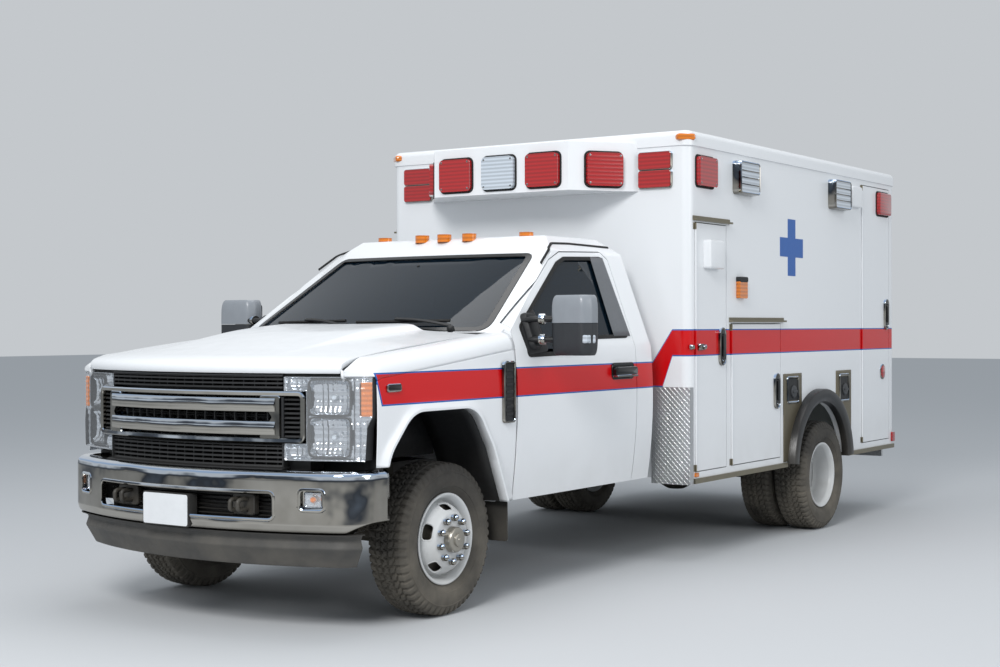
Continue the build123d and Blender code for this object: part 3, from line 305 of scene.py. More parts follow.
def finishes():
    """Every finish by its slot or name, made once."""
    if "made" not in FINISH:
        colours = bpy.context.scene.ambulance_colours
        FINISH["made"] = {"white_paint": gloss_paint("sprayed gloss paint"),
            "box_paint": gloss_paint("sprayed gloss paint with box stripe", box_stripe),
            "cab_paint": gloss_paint("sprayed gloss paint with cab stripe", cab_stripe),
            # The three chrome finishes below carry a painted reflection of ground and sky in their colour
            # Plated over polished steel: a near mirror without waves
            "chrome": chrome_with_painted_reflection("chrome plate", 0.06, 0.1),
            # Plated over a deep pressing: the mirror wanders a little
            "bumper_chrome": chrome_with_painted_reflection("chrome plate on pressed steel", 0.07, 1.2),
            # Plated over a moulding: softer, as the plate follows the plastic
            "grille_chrome": chrome_with_painted_reflection("chrome plate on moulded ABS", 0.1, 0.4),
            # Spark-eroded mould: an even black grain without gloss
            "black_trim": simple("moulded black polypropylene", "#1B1C1E", 0.55),
            # Pressed in a plain mould: black and matt
            "rubber": simple("moulded rubber", "#151515", 0.7),
            # Worn by the road: matt, grey with dust low down
            "tyre": simple("tyre rubber", "#1A1A1B", 0.78, dust=0.7),
            # Baked powder: a soft gloss, dusty from the brakes
            "wheel_steel": simple("powder-coated wheel", "#D9DBDC", 0.35, dust=0.5),
            # Dipped frame: half gloss black under road dust
            "chassis_black": simple("chassis paint", "#0E0E0F", 0.5, dust=0.6),
            # Sand cast and left raw: dark, coarse and barely metallic
            "casting": simple("cast iron", "#2B2A29", 0.7, 0.6, 2, 0.3, dust=0.6),
            # Drawn and anodised: a satin warm metal
            "aluminium": simple("bronze anodised aluminium", "#8E8774", 0.35, 0.9, 3, 0.03, 0.15),
            "tread_plate": tread_plate(),
            # Hot-dipped tube: dull silver with a brown dust
            "steel": simple("aluminised steel", "#8A8883", 0.45, 0.9, dust=0.5),
            "glass": window_glass(), "red_lens": lens("red acrylic lens", colours.red),
            "clear_lens": lens("clear acrylic lens", "#C9D2DB"),
            "amber_lens": lens("amber acrylic lens", colours.amber),
            # Aluminium vapour on a moulding: bright, with a slow ripple
            "headlamp": simple("vacuum-metallised reflector", "#C9CED4", 0.12, 0.9, 12, 0.6, 0.5, dust=0),
            # Coloured through: flat grey with a fine grain
            "grey_plastic": simple("moulded grey ABS", "#3C3E41", 0.5),
            # Rolled under a grained drum: a dull sheen broken by the grain
            "seat_vinyl": simple("embossed vinyl", "#3A3D42", 0.55, size_mm=2, depth_mm=0.3),
            # Pressed sheet on board: pale and evenly satin
            "cabinet": simple("laminate", "#BFC2C0", 0.35, dust=0),
            # Deep grain against stone marks: charcoal, without a clear reflection
            "dam_plastic": simple("grained valance plastic", "#2A2D31", 0.62, size_mm=4, depth_mm=0.3,
                dust=0.5),
            # Fired enamel on sheet: clean white with a soft gloss
            "plate": simple("blank enamelled plate", "#E4E6E8", 0.3, dust=0.1),
            # Polished mould: a dark mirror
            "black_gloss": simple("gloss black plastic", "#0B0C0D", 0.12, dust=0.1),
            # Film over the pillar's ribs: grey, half matt
            "pillar": simple("ribbed grey film", "#66696D", 0.45, dust=0.1),
            # Turned on a lathe and left bare: warm grey metal
            "hub_metal": simple("machined hub metal", "#A9A59C", 0.32, 0.8, dust=0.4),
            # Sprayed moulding: mid grey with a soft gloss
            "mirror_cap": simple("painted grey mirror cap", "#8D9298", 0.3, dust=0.1),
            # Fine mould grain: black that lightens where it faces the sky
            "mirror_black": simple("moulded mirror shell", "#2B2E32", 0.5, dust=0.1),
            # Cut from a roll: one flat strong blue
            "blue_film": simple("blue vinyl film", "#1B5BA8", 0.3, vary=0.03, dust=0),
            # Extruded and dressed: black with a long soft highlight
            "flare_rubber": simple("gloss rubber flare", "#17181A", 0.3, dust=0.3),
            # Bent sheet, anodised: a darker brown than the rails
            "bronze_sheet": simple("bronze anodised sheet", "#7D7562", 0.4, 0.75, 3, 0.03, 0.15, dust=0.2),
            # Flat weave, its 2.5 mm threads drawn coarse so that they show: dark and without gloss
            "seat_cloth": simple("woven seat cloth", "#34373B", 0.85, size_mm=2.5, depth_mm=0.5, strength=0.5,
                dust=0),
            # Clear moulding over the lamp: only its gloss is seen
            "lamp_cover": simple("clear polycarbonate", "#F4F7FA", 0.04, size_mm=40, depth_mm=0.02, vary=0,
                dust=0, Alpha=0.14, Coat_Weight=1.0),
            # Calendered sheet: an even grey, half matt
            "floor_vinyl": simple("sheet vinyl", "#5A5F66", 0.5, dust=0),}
    return FINISH["made"]


def piece(name, slot, *forms, body="chassis", smooth=True, finish=None):
    """Mesh object of one or more forms, each its points and faces, that rides on a body."""
    points, faces = joined(*forms)
    mesh = bpy.data.meshes.new(name)
    mesh.from_pydata(points.tolist(), [], faces)
    mesh.polygons.foreach_set("use_smooth", [smooth] * len(mesh.polygons))
    mesh.materials.append(finishes()[finish or slot])
    made = bpy.data.objects.new(name, mesh)
    bpy.context.scene.collection.objects.link(made)
    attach(made, body)
    shade(made)
    return made


def both_sides(name, slot, *forms, body="chassis", finish=None, wall=0.0, stands_for=None):
    """A piece and its mirror image; names and bodies end in left or right."""
    left = joined(*forms)
    for side, form in (("left", left), ("right", flipped(left))):
        rider = f"{body}_{side}" if body != "chassis" else body
        made = piece(f"{name}_{side}", slot, form, body=rider, finish=finish)
        if wall:
            walled(made, wall)
        if stands_for:
            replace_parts(made, stands_for if stands_for in frame["nodes"] else f"{stands_for}_{side}")


def joined(*forms):
    """Several forms as one."""
    points, faces, count = [], [], 0
    for corners, sides in forms:
        points.append(np.asarray(corners, float).reshape(-1, 3))
        faces += [[int(k) + count for k in face] for face in sides]
        count += len(points[-1])
    return np.concatenate(points), faces


def flipped(form):
    """The same form on the vehicle's right: x changes sign, and faces are read backwards to point out."""
    points, faces = form
    return np.asarray(points, float) * (-1, 1, 1), [list(face)[::-1] for face in faces]


def mirrored(forms):
    """Forms of the left side, and the same on the right."""
    return forms + [flipped(form) for form in forms]


def walled(made, thickness):
    """Gives an open surface a wall behind its outer face."""
    wall = made.modifiers.new("wall", "SOLIDIFY")
    wall.thickness, wall.offset = thickness, -1
    return made


def soft_shading():
    """Node group that joins coincident points and shades smoothly across edges under 33 degrees."""
    if "shading" not in FINISH:
        tree = bpy.data.node_groups.new("joined and smooth by angle", "GeometryNodeTree")
        tree.interface.new_socket("Geometry", in_out="INPUT", socket_type="NodeSocketGeometry")
        tree.interface.new_socket("Geometry", in_out="OUTPUT", socket_type="NodeSocketGeometry")
        came = node(tree, "NodeGroupInput")
        merged = node(tree, "GeometryNodeMergeByDistance", {"Geometry": came, "Distance": 0.00002})
        angle = node(tree, "GeometryNodeInputMeshEdgeAngle")
        sharp = node(tree, "ShaderNodeMath", {0: angle, 1: math.radians(33)}, operation="GREATER_THAN")
        smooth = node(tree, "GeometryNodeSetShadeSmooth", {"Geometry": merged, "Shade Smooth": True})
        crisp = node(tree, "GeometryNodeSetShadeSmooth", {"Geometry": smooth, "Selection": sharp,
                "Shade Smooth": False}, domain="EDGE")
        node(tree, "NodeGroupOutput", {0: crisp})
        FINISH["shading"] = tree
    return FINISH["shading"]


def shade(made):
    """Joins and smooths a finished mesh in a modifier."""
    made.modifiers.new("smooth by angle", "NODES").node_group = soft_shading()


def at(x, y, z):
    """Place given by its distance behind the front axle."""
    return np.array([x, AXLE + y, z], float)


def quads(rows, cols, close_rows=False, close_cols=False):
    """Faces of a grid of rows by cols points, joined round where it closes."""
    r = np.arange(rows if close_rows else rows - 1)
    c = np.arange(cols if close_cols else cols - 1)
    r, c = np.meshgrid(r, c, indexing="ij")
    r1, c1 = (r + 1) % rows, (c + 1) % cols
    return np.stack([r * cols + c, r * cols + c1, r1 * cols + c1, r1 * cols + c], -1).reshape(-1, 4)


def outward(form, way=None):
    """The same form with faces that point out: by its volume, or towards a given way when open."""
    points, faces = np.asarray(form[0], float).reshape(-1, 3), form[1]
    four = np.array([face for face in faces if len(face) == 4], int)
    a, b, c, d = (points[four[:, k]] for k in range(4))
    normal = np.cross(c - a, d - b)
    where = a - points.mean(0) if way is None else np.broadcast_to(np.asarray(way, float), a.shape)
    if (normal * where).sum() < 0:
        faces = [list(face)[::-1] for face in faces]
    return points, faces


def grid(points, keep=None, way=None, close_rows=False, close_cols=False):
    """Surface over a grid of points, without the faces that keep marks False."""
    rows, cols = points.shape[:2]
    faces = quads(rows, cols, close_rows, close_cols)
    if keep is not None:
        faces = faces[np.asarray(keep).reshape(-1)]
    return outward((points.reshape(-1, 3), faces.tolist()), way)


def solid(points, ring=False):
    """Solid over rows of points, each a closed line: end rows are capped, or joined when it is a ring."""
    rows, cols = points.shape[:2]
    faces = quads(rows, cols, close_rows=ring, close_cols=True).tolist()
    if not ring:
        faces += [list(range(cols))[::-1], list(range((rows - 1) * cols, rows * cols))]
    return outward((points, faces))


def centres(values):
    """Mean of each face's four corner values."""
    return 0.25 * (values[:-1, :-1] + values[1:, 1:] + values[:-1, 1:] + values[1:, :-1])


def curve(a, b, c, t):
    """Quadratic curve from a to c that leaves a, and reaches c, in line with b."""
    return (1 - t) ** 2 * a + 2 * t * (1 - t) * b + t ** 2 * c


def soft_max(a, b, width):
    """Larger of two heights, with the crease between them rounded over a width."""
    return 0.5 * (a + b + np.sqrt((a - b) ** 2 + width ** 2))


def about_axle(x, y, radius, angle):
    """Points at a radius and an angle round the line through a wheel's middle, y behind the front axle."""
    return np.stack(np.broadcast_arrays(x, AXLE + y + radius * np.sin(angle),
            AXLE_Z + radius * np.cos(angle)), -1)


# Directions to the right and up of someone who faces each side
FACES = {"front": ((1, 0, 0), (0, 0, 1)), "rear": ((-1, 0, 0), (0, 0, 1)), "left": ((0, 1, 0), (0, 0, 1)),
    "right": ((0, -1, 0), (0, 0, 1)), "up": ((1, 0, 0), (0, 1, 0))}


def moulding(centre, face, half, corner, profile, ring=False, steps=5):
    """Profile of (inset, height) carried round a rounded rectangle.

    At each inset the outline is four quarter circles of radius corner - inset about the corners' own
    centres, raised by the height. A ring closes on itself; a solid is capped at both ends.
    """
    right, up = (np.array(v, float) for v in (FACES[face] if isinstance(face, str) else face))
    out = np.cross(right, up)
    quarter = np.linspace(0, np.pi / 2, steps + 1)
    angle = np.concatenate([quarter + k * np.pi / 2 for k in range(4)])
    sign = np.repeat([[1, 1], [-1, 1], [-1, -1], [1, -1]], steps + 1, axis=0)
    inset, height = np.array(profile, float).T
    radius = np.maximum(corner - inset, 0.0006)[:, None]
    across = sign[:, 0] * (half[0] - inset[:, None] - radius) + radius * np.cos(angle)
    along = sign[:, 1] * (half[1] - inset[:, None] - radius) + radius * np.sin(angle)
    return solid(centre + across[..., None] * right + along[..., None] * up + height[:, None, None] * out,
        ring)


def lathe(centre, axis, profile, steps=32):
    """Profile (height, radius) turned about an axis, capped: centre + height axis + radius (cos, sin)."""
    axis = np.array(axis, float) / np.linalg.norm(axis)
    side = np.cross((0, 0, 1), axis) if abs(axis[2]) < 0.9 else np.array([1.0, 0, 0])
    side = side / np.linalg.norm(side)
    other = np.cross(axis, side)
    angle = np.linspace(0, 2 * np.pi, steps, endpoint=False)
    height, radius = np.array(profile, float).T
    spoke = np.cos(angle)[:, None] * side + np.sin(angle)[:, None] * other
    return solid(centre + height[:, None, None] * axis + radius[:, None, None] * spoke)


def carried(path, outline, out, closed=False):
    """Outline of (across, out) points carried along a path; across is square to the path and to out."""
    path = np.asarray(path, float)
    out = np.broadcast_to(np.asarray(out, float), path.shape)
    run = np.roll(path, -1, 0) - np.roll(path, 1, 0) if closed else np.gradient(path, axis=0)
    run = run / np.linalg.norm(run, axis=1)[:, None]
    across = np.cross(out, run)
    across = across / np.linalg.norm(across, axis=1)[:, None]
    out = np.cross(run, across)
    a, b = np.array(outline, float).T
    return solid(path[:, None] + a[:, None] * across[:, None] + b[:, None] * out[:, None], closed)


def tube(path, radius, steps=10):
    """Round bar along a path."""
    angle = np.linspace(0, 2 * np.pi, steps, endpoint=False)
    outline = np.stack([np.cos(angle), np.sin(angle)], 1) * radius
    return carried(path, outline, (0.3, 0.2, 0.93))


def strip_outline(half, thick):
    """Section of a flat strip with rolled edges, as (across, out)."""
    edge = min(half, thick) * 0.5
    return [(half, 0), (half, thick - edge), (half - edge, thick), (edge - half, thick),
        (-half, thick - edge), (-half, 0)]


def filleted(points, radius, steps=6, closed=False):
    """Path with rounded corners: each is a quadratic curve between the points where a circle would touch."""
    points = np.asarray(points, float)
    count = len(points)
    runs = []
    for k in range(count):
        corner = points[k]
        if not closed and k in (0, count - 1):
            runs.append(corner[None])
            continue
        back, ahead = points[k - 1] - corner, points[(k + 1) % count] - corner
        far_back, far_ahead = np.linalg.norm(back), np.linalg.norm(ahead)
        half_turn = 0.5 * np.arccos(np.clip(-np.dot(back, ahead) / far_back / far_ahead, -1, 1))
        reach = min(radius * np.tan(half_turn), 0.49 * far_back, 0.49 * far_ahead)
        t = np.linspace(0, 1, steps + 1)[:, None]
        runs.append(curve(corner + back / far_back * reach, corner, corner + ahead / far_ahead * reach, t))
    return np.concatenate(runs)


def spread(path, count, closed=False):
    """Points evenly spaced along a path."""
    path = np.concatenate([path, path[:1]]) if closed else np.asarray(path, float)
    far = np.concatenate([[0], np.cumsum(np.linalg.norm(np.diff(path, axis=0), axis=1))])
    places = np.linspace(0, far[-1], count, endpoint=not closed)
    return np.stack([np.interp(places, far, path[:, k]) for k in range(path.shape[1])], 1)


# Cab's house above the sill: height, half width, and the y of the screen's arc in the middle and at the sides
SILL_Z = 1.36
HOUSE_Z = (SILL_Z, 1.93, 2.022)
HOUSE_HALF = (1.0, 0.8, 0.69)
HOUSE_MID = (0.115, 1.14, 1.29)
HOUSE_SIDE = (0.397, 1.225, 1.33)


def side_x(z):
    """Half width of the cab: a parabola from 0.974 through 1.012 to 1.0 at the sill, straight above it."""
    t = (np.asarray(z, float) - 0.545) / (SILL_Z - 0.545)
    low = 0.974 * (1 - t) * (1 - 2.117 * t) + 1.0 * t * (1.8955 * t - 0.8955) + 1.012 * 4.0127 * t * (1 - t)
    return np.where(np.asarray(z) < SILL_Z, low, np.interp(z, HOUSE_Z, HOUSE_HALF))


def on_side(y, z, out=0.0):
    """Points on the cab's left side at y and z, raised by out, and the way out of the surface there."""
    y, z = np.broadcast_arrays(np.asarray(y, float), np.asarray(z, float))
    slope = (side_x(z + 0.004) - side_x(z - 0.004)) / 0.008
    way = np.stack([np.ones_like(z), np.zeros_like(z), -slope], -1)
    way /= np.linalg.norm(way, axis=-1)[..., None]
    return np.stack([side_x(z), AXLE + y, z], -1) + out * way, way


def on_screen(x, z, out=0.0):
    """Points on the windscreen's arc, which passes through the middle and both sides at each height."""
    x, z = np.broadcast_arrays(np.asarray(x, float), np.asarray(z, float))

    def place(x, z):
        mid, side, half = (np.interp(z, HOUSE_Z, table) for table in (HOUSE_MID, HOUSE_SIDE, HOUSE_HALF))
        sag = side - mid
        radius = (half ** 2 + sag ** 2) / (2 * sag)
        return np.stack([x, AXLE + mid + radius - np.sqrt(radius ** 2 - x ** 2), z], -1)

    spot = place(x, z)
    way = np.cross(place(x + 0.01, z) - spot, place(x, z + 0.01) - spot)
    way /= np.linalg.norm(way, axis=-1)[..., None]
    return spot + out * way, way


# The front end lies on one wide arc in plan; its centre is further forward for the bumper than for the nose
FACE_RADIUS = 2.2
NOSE_Y, BUMPER_Y = 1.255, 1.18


def nose(x, z, depth=0.0, centre=NOSE_Y):
    """Points on the front's wide arc at x and z, set back by depth, and the way out there."""
    x, z, depth = np.broadcast_arrays(*(np.asarray(v, float) for v in (x, z, depth)))
    turn = np.arcsin(x / FACE_RADIUS)
    way = np.stack([np.sin(turn), -np.cos(turn), 0 * turn], -1)
    return at(0, centre, 0) + (0, 0, 1) * z[..., None] + (FACE_RADIUS - depth)[..., None] * way, way


def bar(section, x0, x1, centre=NOSE_Y):
    """Closed section of (depth, z) carried along the front's arc from x0 to x1, capped."""
    depth, z = np.array(section, float).T
    x = np.linspace(x0, x1, max(3, int(abs(x1 - x0) / 0.03) + 2))
    return solid(nose(x[:, None], z[None], depth[None], centre)[0])


def plate_on(outline, front, back, edge=0.003):
    """Outline of (x, z) on the front's arc as a solid between two depths, its front edge rolled."""
    outline = np.asarray(outline, float)
    from_middle = outline - outline.mean(0)
    inner = outline.mean(0) + from_middle * (1 - edge / np.abs(from_middle).max())
    return solid(np.stack([nose(*outline.T, back)[0], nose(*outline.T, front + edge)[0],
            nose(*inner.T, front)[0]]))


def ring_on(surface, outline, section, radius=0.03, count=220):
    """Section of (across, out) that follows a closed outline on a surface in even steps."""
    path = spread(filleted(outline, radius, closed=True), count, closed=True)
    spot, way = surface(*path.T)
    return carried(spot, section, way, closed=True)


def box_outline(half, high, x=0.0, z=0.0):
    """Corner points of a rectangle about a middle."""
    return [(x - half, z - high), (x + half, z - high), (x + half, z + high), (x - half, z + high)]


def in_box(x, z, half, high, radius, at_x=0.0, at_z=0.0):
    """Which points lie inside a rectangle with rounded corners."""
    dx = np.maximum(np.abs(x - at_x) - half + radius, 0)
    dz = np.maximum(np.abs(z - at_z) - high + radius, 0)
    return np.hypot(dx, dz) < radius


class AMB_OT_nodes(bpy.types.Operator):
    """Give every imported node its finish"""

    bl_idname = "ambulance.nodes"
    bl_label = "Finish the packed nodes"

    def execute(self, context):
        slots = {p["node"]: p["material_slot"] for p in frame["record"]["subparts"]}
        for name, made in frame["nodes"].items():
            finish = slots[name]
            if name in ("front_fenders", "cab_door_left", "cab_door_right", "cab_shell"):
                finish = "cab_paint"
            elif finish == "white_paint" and ("body_" in name or "door" in name) and name != "body_roof":
                finish = "box_paint"
            for held in made.material_slots:
                held.material = finishes()[finish]
            shade(made)
        return {"FINISHED"}


# Places along the hood at which its heights are given, and its front edge as (radius from the arc's centre,
# height)
STATIONS = (-1.005, -0.5, 0.45)
HOOD_HALF = 0.87
HOOD_LIP = ((2.15, 1.262), (2.192, 1.262), (2.1985, 1.272), (2.2, 1.288), (2.195, 1.302), (2.18, 1.315),
    (2.15, 1.328),
    (2.09, 1.343), (1.9, 1.377), (0.0, 1.74))
COWL_RADIUS = 2.4726


def over_stations(y, values):
    """Quadratic curve through three values at the hood's three stations."""
    return np.polyval(np.polyfit(STATIONS, values, 2), y)


def hood_height(x, y):
    """Shallow arc across the hood and on it a flat dome with rolled shoulders; both rise to the screen."""
    centre, side = over_stations(y, (1.322, 1.402, 1.492)), over_stations(y, (1.272, 1.346, 1.43))
    radius = (0.96 ** 2 + (centre - side) ** 2) / (2 * (centre - side))
    base = centre - radius + np.sqrt(radius ** 2 - x ** 2)
    inward = over_stations(y, (0.43, 0.48, 0.53)) - np.abs(x)
    drop = np.interp(inward, (-0.2, 0, 0.03, 0.06, 0.11), (0.16, 0.026, 0.009, 0.003, 0))
    return soft_max(base, over_stations(y, (1.34, 1.421, 1.512)) - drop, 0.006)


def hood_skin():
    """Hood's surface: rows on arcs of the front edge that turn into the cowl's arc, with folded edges."""
    x = np.linspace(-HOOD_HALF, HOOD_HALF, 121)
    lip = np.array(HOOD_LIP)
    front = NOSE_Y - np.sqrt(lip[:8, 0, None] ** 2 - x ** 2)
    back_y = 0.25 + COWL_RADIUS - np.sqrt(COWL_RADIUS ** 2 - x ** 2)
    y = np.concatenate([front[:-1], front[-1] + (back_y - front[-1]) * np.linspace(0, 1, 60)[:, None]])
    limit = np.interp(-np.hypot(x, y - NOSE_Y), -lip[1:, 0], lip[1:, 1])
    limit[:8] = lip[:8, 1, None]
    z = -soft_max(-limit, -hood_height(x, y), 0.004)
    z[:2] = lip[:2, 1, None]
    points = np.stack([np.broadcast_to(x, y.shape), AXLE + y, z], -1)
    skirt = points[:, [0, -1]] - (0, 0, 0.026)
    points = np.concatenate([skirt[:, :1], points, skirt[:, 1:]], 1)
    hem = points[-1:] - (0, 0, 0.02)
    return grid(np.concatenate([points, hem]), way=(0, -0.2, 1))


class AMB_OT_hood(bpy.types.Operator):
    """Crowned hood with a raised middle and a rolled front edge"""

    bl_idname = "ambulance.hood"
    bl_label = "Hood"

    def execute(self, context):
        made = piece("hood_skin", "white_paint", hood_skin(), body="hood")
        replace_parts(walled(made, 0.012), "hood")
        spot, way = nose(np.linspace(-0.858, 0.858, 60), 1.2535, 0.03)
        section = [(0.006, -0.02), (0.006, 0.006), (-0.006, 0.006), (-0.006, -0.02)]
        piece("hood_seal", "rubber", carried(spot, section, way), body="hood")
        return {"FINISHED"}


# Wheel arch as (y, z), the fender's front, rear and foot, and its top edge
ARCH = ((-0.59, 0.55), (-0.59, 0.85), (-0.39, 1.065), (0.15, 1.065), (0.3, 0.845), (0.43, 0.55))
FENDER_Y = (-0.66, 0.539)
FENDER_FOOT = 0.812
SHOULDER_Y = (-0.76, -0.64, -0.1, 0.539)
SHOULDER_Z = (1.272, 1.338, 1.393, 1.462)
CROWN_DROP = 0.1
# Headlamp's outline in plan, past the straight part: y and the x reached there
LAMP_END_Y = (-0.7587, -0.7296, -0.7119, -0.687, -0.66)
LAMP_END_X = (0.876, 0.94, 0.9804, 1.0015, 1.003)


def matched(path, breaks, counts):
    """Path sampled by parts that end at the given breaks, each with its own count of points."""
    dense = spread(path, 2000)
    ends = [0] + [int(np.argmin(np.linalg.norm(dense - b, axis=1))) for b in breaks] + [len(dense) - 1]
    parts = [dense[np.linspace(a, b, n).astype(int)][(k > 0):] for k,
        (a, b, n) in enumerate(zip(ends, ends[1:], counts))]
    return np.concatenate(parts)


def shoulder(y):
    """Height of the fender's top edge."""
    return np.interp(y, SHOULDER_Y, SHOULDER_Z)


def fender_side(arch, run):
    """Fender's side: rows between wheel arch and rim, on the cab's side or the arch's swell if further out.

    The swell falls by 0.45 of the distance from the arch, after a flat lip of 14 mm.
    """
    front, rear = FENDER_Y
    arch_top = arch[~((arch[:, 0] < 0) & (arch[:, 1] < FENDER_FOOT))]
    arch_top = np.concatenate([[(ARCH[0][0], FENDER_FOOT)], arch_top])
    rim = np.concatenate([[(front, FENDER_FOOT)], np.stack([run, shoulder(run) - CROWN_DROP], 1),
            [(rear, ARCH[0][1])]])
    counts = (24, 70, 40)
    inner = matched(arch_top, ((-0.5, 0.955), (0.22, 0.97)), counts)
    outer = matched(rim, [(y, shoulder(y) - CROWN_DROP) for y in FENDER_Y], counts)
    t = (np.linspace(0, 1, 36) ** 1.5)[:, None, None]
    y, z = np.moveaxis(inner + (outer - inner) * t, -1, 0)
    away = np.linalg.norm((outer - inner) * t, axis=-1)
    flat = side_x(np.minimum(z, SILL_Z)) - 0.003
    swell = 1.026 - 0.45 * np.maximum(away - 0.014, 0)
    x = soft_max(flat, np.minimum(swell, 1.026), 0.006) - 0.0015
    x = np.where(away < 0.0005, x - 0.002, x)
    side = np.stack([x, AXLE + y, z], -1)
    edge = side[:1] * (0, 1, 1) + (0.972, 0, 0)
    return grid(np.concatenate([edge, side]), way=(1, 0, 0))


def fender_crown(run):
    """Fender's top: quadratic curves from the side to a fold under the hood, cut to the headlamp's end."""
    y = np.concatenate([np.linspace(-0.757, FENDER_Y[0], 9)[:-1], run])[:, None]
    top = shoulder(y)
    foot_x = side_x(np.minimum(top - CROWN_DROP, SILL_Z)) - 0.003
    u = np.linspace(0, 1, 18)
    x = curve(foot_x, foot_x - 0.001, 0.877, u)
    z = curve(top - CROWN_DROP, top - 0.004, top, u)
    ahead = y < FENDER_Y[0]
    z = np.where(ahead, np.maximum(z, 1.2475), z)
    x = np.where(ahead, np.minimum(x, np.interp(y, LAMP_END_Y, LAMP_END_X)), x)
    crown = np.stack(np.broadcast_arrays(x, AXLE + y, z), -1)
    fold = crown[:, -1:] - (0.001, 0, 0.05)
    return grid(np.concatenate([crown, fold], 1), way=(0.6, 0, 1))


def wheel_liner(arch):
    """Liner just inside the arch, from the lip to x of 0.62, and the wall that closes it there."""
    path = arch + (arch - (-0.1, 0.6)) * 0.006
    roof = np.stack(np.broadcast_arrays(np.array([0.62, 0.7, 0.8, 0.9, 0.985]), AXLE + path[:, :1],
            path[:, 1:]), -1)
    upper = path[path[:, 1] > 0.8]
    wall = np.stack([np.full(len(upper), 0.621), AXLE + upper[:, 0], upper[:, 1]], 1)
    foot = wall * (1, 1, 0) + (0, 0, 0.8)
    return grid(roof, way=(0, 0, -1)), grid(np.stack([wall, foot]), way=(1, 0, 0))


class AMB_OT_fenders(bpy.types.Operator):
    """Front fenders: swelled wheel arch, crowned top edge and black liner"""

    bl_idname = "ambulance.fenders"
    bl_label = "Front fenders"

    def execute(self, context):
        arch = filleted(ARCH, 0.2, 12)
        run = np.linspace(*FENDER_Y, 40)
        both_sides("fender", "white_paint", fender_side(arch, run), fender_crown(run), finish="cab_paint",
            wall=0.004, stands_for="front_fenders")
        both_sides("wheel_liner", "black_trim", *wheel_liner(arch), wall=0.003)
        return {"FINISHED"}


# Sections of bumper and air dam as (depth, z); openings as half width, half height, corner radius, x and z
# of the middle
BUMPER_SECTION = ((0.078, 0.8), (0.028, 0.8), (0.004, 0.785), (0.0, 0.758), (0.0, 0.545), (0.009, 0.512),
    (0.038, 0.497), (0.078, 0.497))
DAM_SECTION = ((0.04, 0.497), (0.056, 0.47), (0.042, 0.428), (0.062, 0.392), (0.095, 0.333), (0.105, 0.333))
LIP_SECTION = ((0.02, 0.4985), (0.02, 0.4945), (0.075, 0.4945), (0.075, 0.4985))
OPENING = (0.6, 0.07, 0.034, 0.0, 0.632)
FOG_LAMP = (0.062, 0.054, 0.026, 0.78, 0.664)
# Bumper's corner in plan: the wide arc's angle where it starts, its centre and its radius
CORNER_TURN = 23.578
CORNER_AT = (0.8, -0.65303)
CORNER_RADIUS = 0.2


def bumper_sweep(section, steps, corner_to=90.0, straight_to=-0.56):
    """Section of (depth, z) swept round the front: the wide arc in a number of steps, then a tight corner.

    A corner that turns the whole 90 degrees goes on in a straight end. The right half mirrors the left.
    """
    turn = np.radians(np.linspace(0, CORNER_TURN, steps))
    corner = np.radians(np.linspace(CORNER_TURN, corner_to, 22))[1:]
    centre = np.concatenate([np.zeros((len(turn), 2)) + (0, BUMPER_Y),
            np.zeros((len(corner), 2)) + CORNER_AT])
    radius = np.concatenate([np.full(len(turn), FACE_RADIUS), np.full(len(corner), CORNER_RADIUS)])
    angle = np.concatenate([turn, corner])
    if corner_to == 90.0:
        ends = np.linspace(CORNER_AT[1], straight_to, 5)[1:]
        centre = np.concatenate([centre, np.stack([np.full(4, CORNER_AT[0]), ends], 1)])
        radius, angle = np.append(radius, [CORNER_RADIUS] * 4), np.append(angle, [np.pi / 2] * 4)
    depth, z = np.asarray(section, float).T
    reach = radius[:, None] - depth
    x = centre[:, :1] + reach * np.sin(angle)[:, None]
    y = centre[:, 1:] - reach * np.cos(angle)[:, None]
    half = np.stack([x, AXLE + y, np.broadcast_to(z, x.shape)], -1)
    return np.concatenate([(half * (-1, 1, 1))[:0:-1], half])


def bumper_shell():
    """Bumper's face with its opening and lamp pockets; past x of 0.74 its lower edge rises straight."""
    points = bumper_sweep(spread(filleted(BUMPER_SECTION, 0.02, 6), 92), 150)
    x, z = points[..., 0], points[..., 2]
    cut = 0.4 + (np.abs(x) - 0.74) * 0.5926
    points[..., 2] = np.where(np.abs(x) > 0.74, np.maximum(z, cut), z)
    mid_x, mid_z, mid_y = centres(x), centres(z), centres(points[..., 1])
    hole = in_box(mid_x, mid_z, *OPENING) | in_box(np.abs(mid_x), mid_z, *FOG_LAMP)
    face = (mid_y < AXLE - 0.7) & (mid_z < 0.75) & (mid_z > 0.55)
    return grid(points, keep=~(hole & face), way=(0, -1, 0))


def on_bumper(x, z):
    """Points on the bumper's face."""
    return nose(x, z, 0, BUMPER_Y)


def bumper_rims():
    """Rolled edges of the opening and of the two lamp pockets."""
    roll = [(0.009, -0.004), (0.009, 0.0015), (0.004, 0.004), (-0.004, 0.003), (-0.009, -0.003),
        (-0.011, -0.03), (-0.008, -0.03), (-0.004, -0.006)]
    rims = []
    for (half, high, radius, x, z), signs, count in ((OPENING, (1,), 500), (FOG_LAMP, SIDES, 160)):
        for side in signs:
            outline = box_outline(half - 0.002, high - 0.002, side * x, z)
            rims.append(ring_on(on_bumper, outline, roll, radius, count))
    return rims


def bumper_grid():
    """Back wall of the opening and its level slats, 21 mm apart."""
    back = bar([(0.1, 0.54), (0.1, 0.73), (0.106, 0.73), (0.106, 0.54)], -0.66, 0.66, BUMPER_Y)
    return [back] + [bar([(0.07, z), (0.1, z + 0.006), (0.1, z)], -0.6, 0.6, BUMPER_Y)
        for z in np.arange(0.575, 0.7, 0.021)]


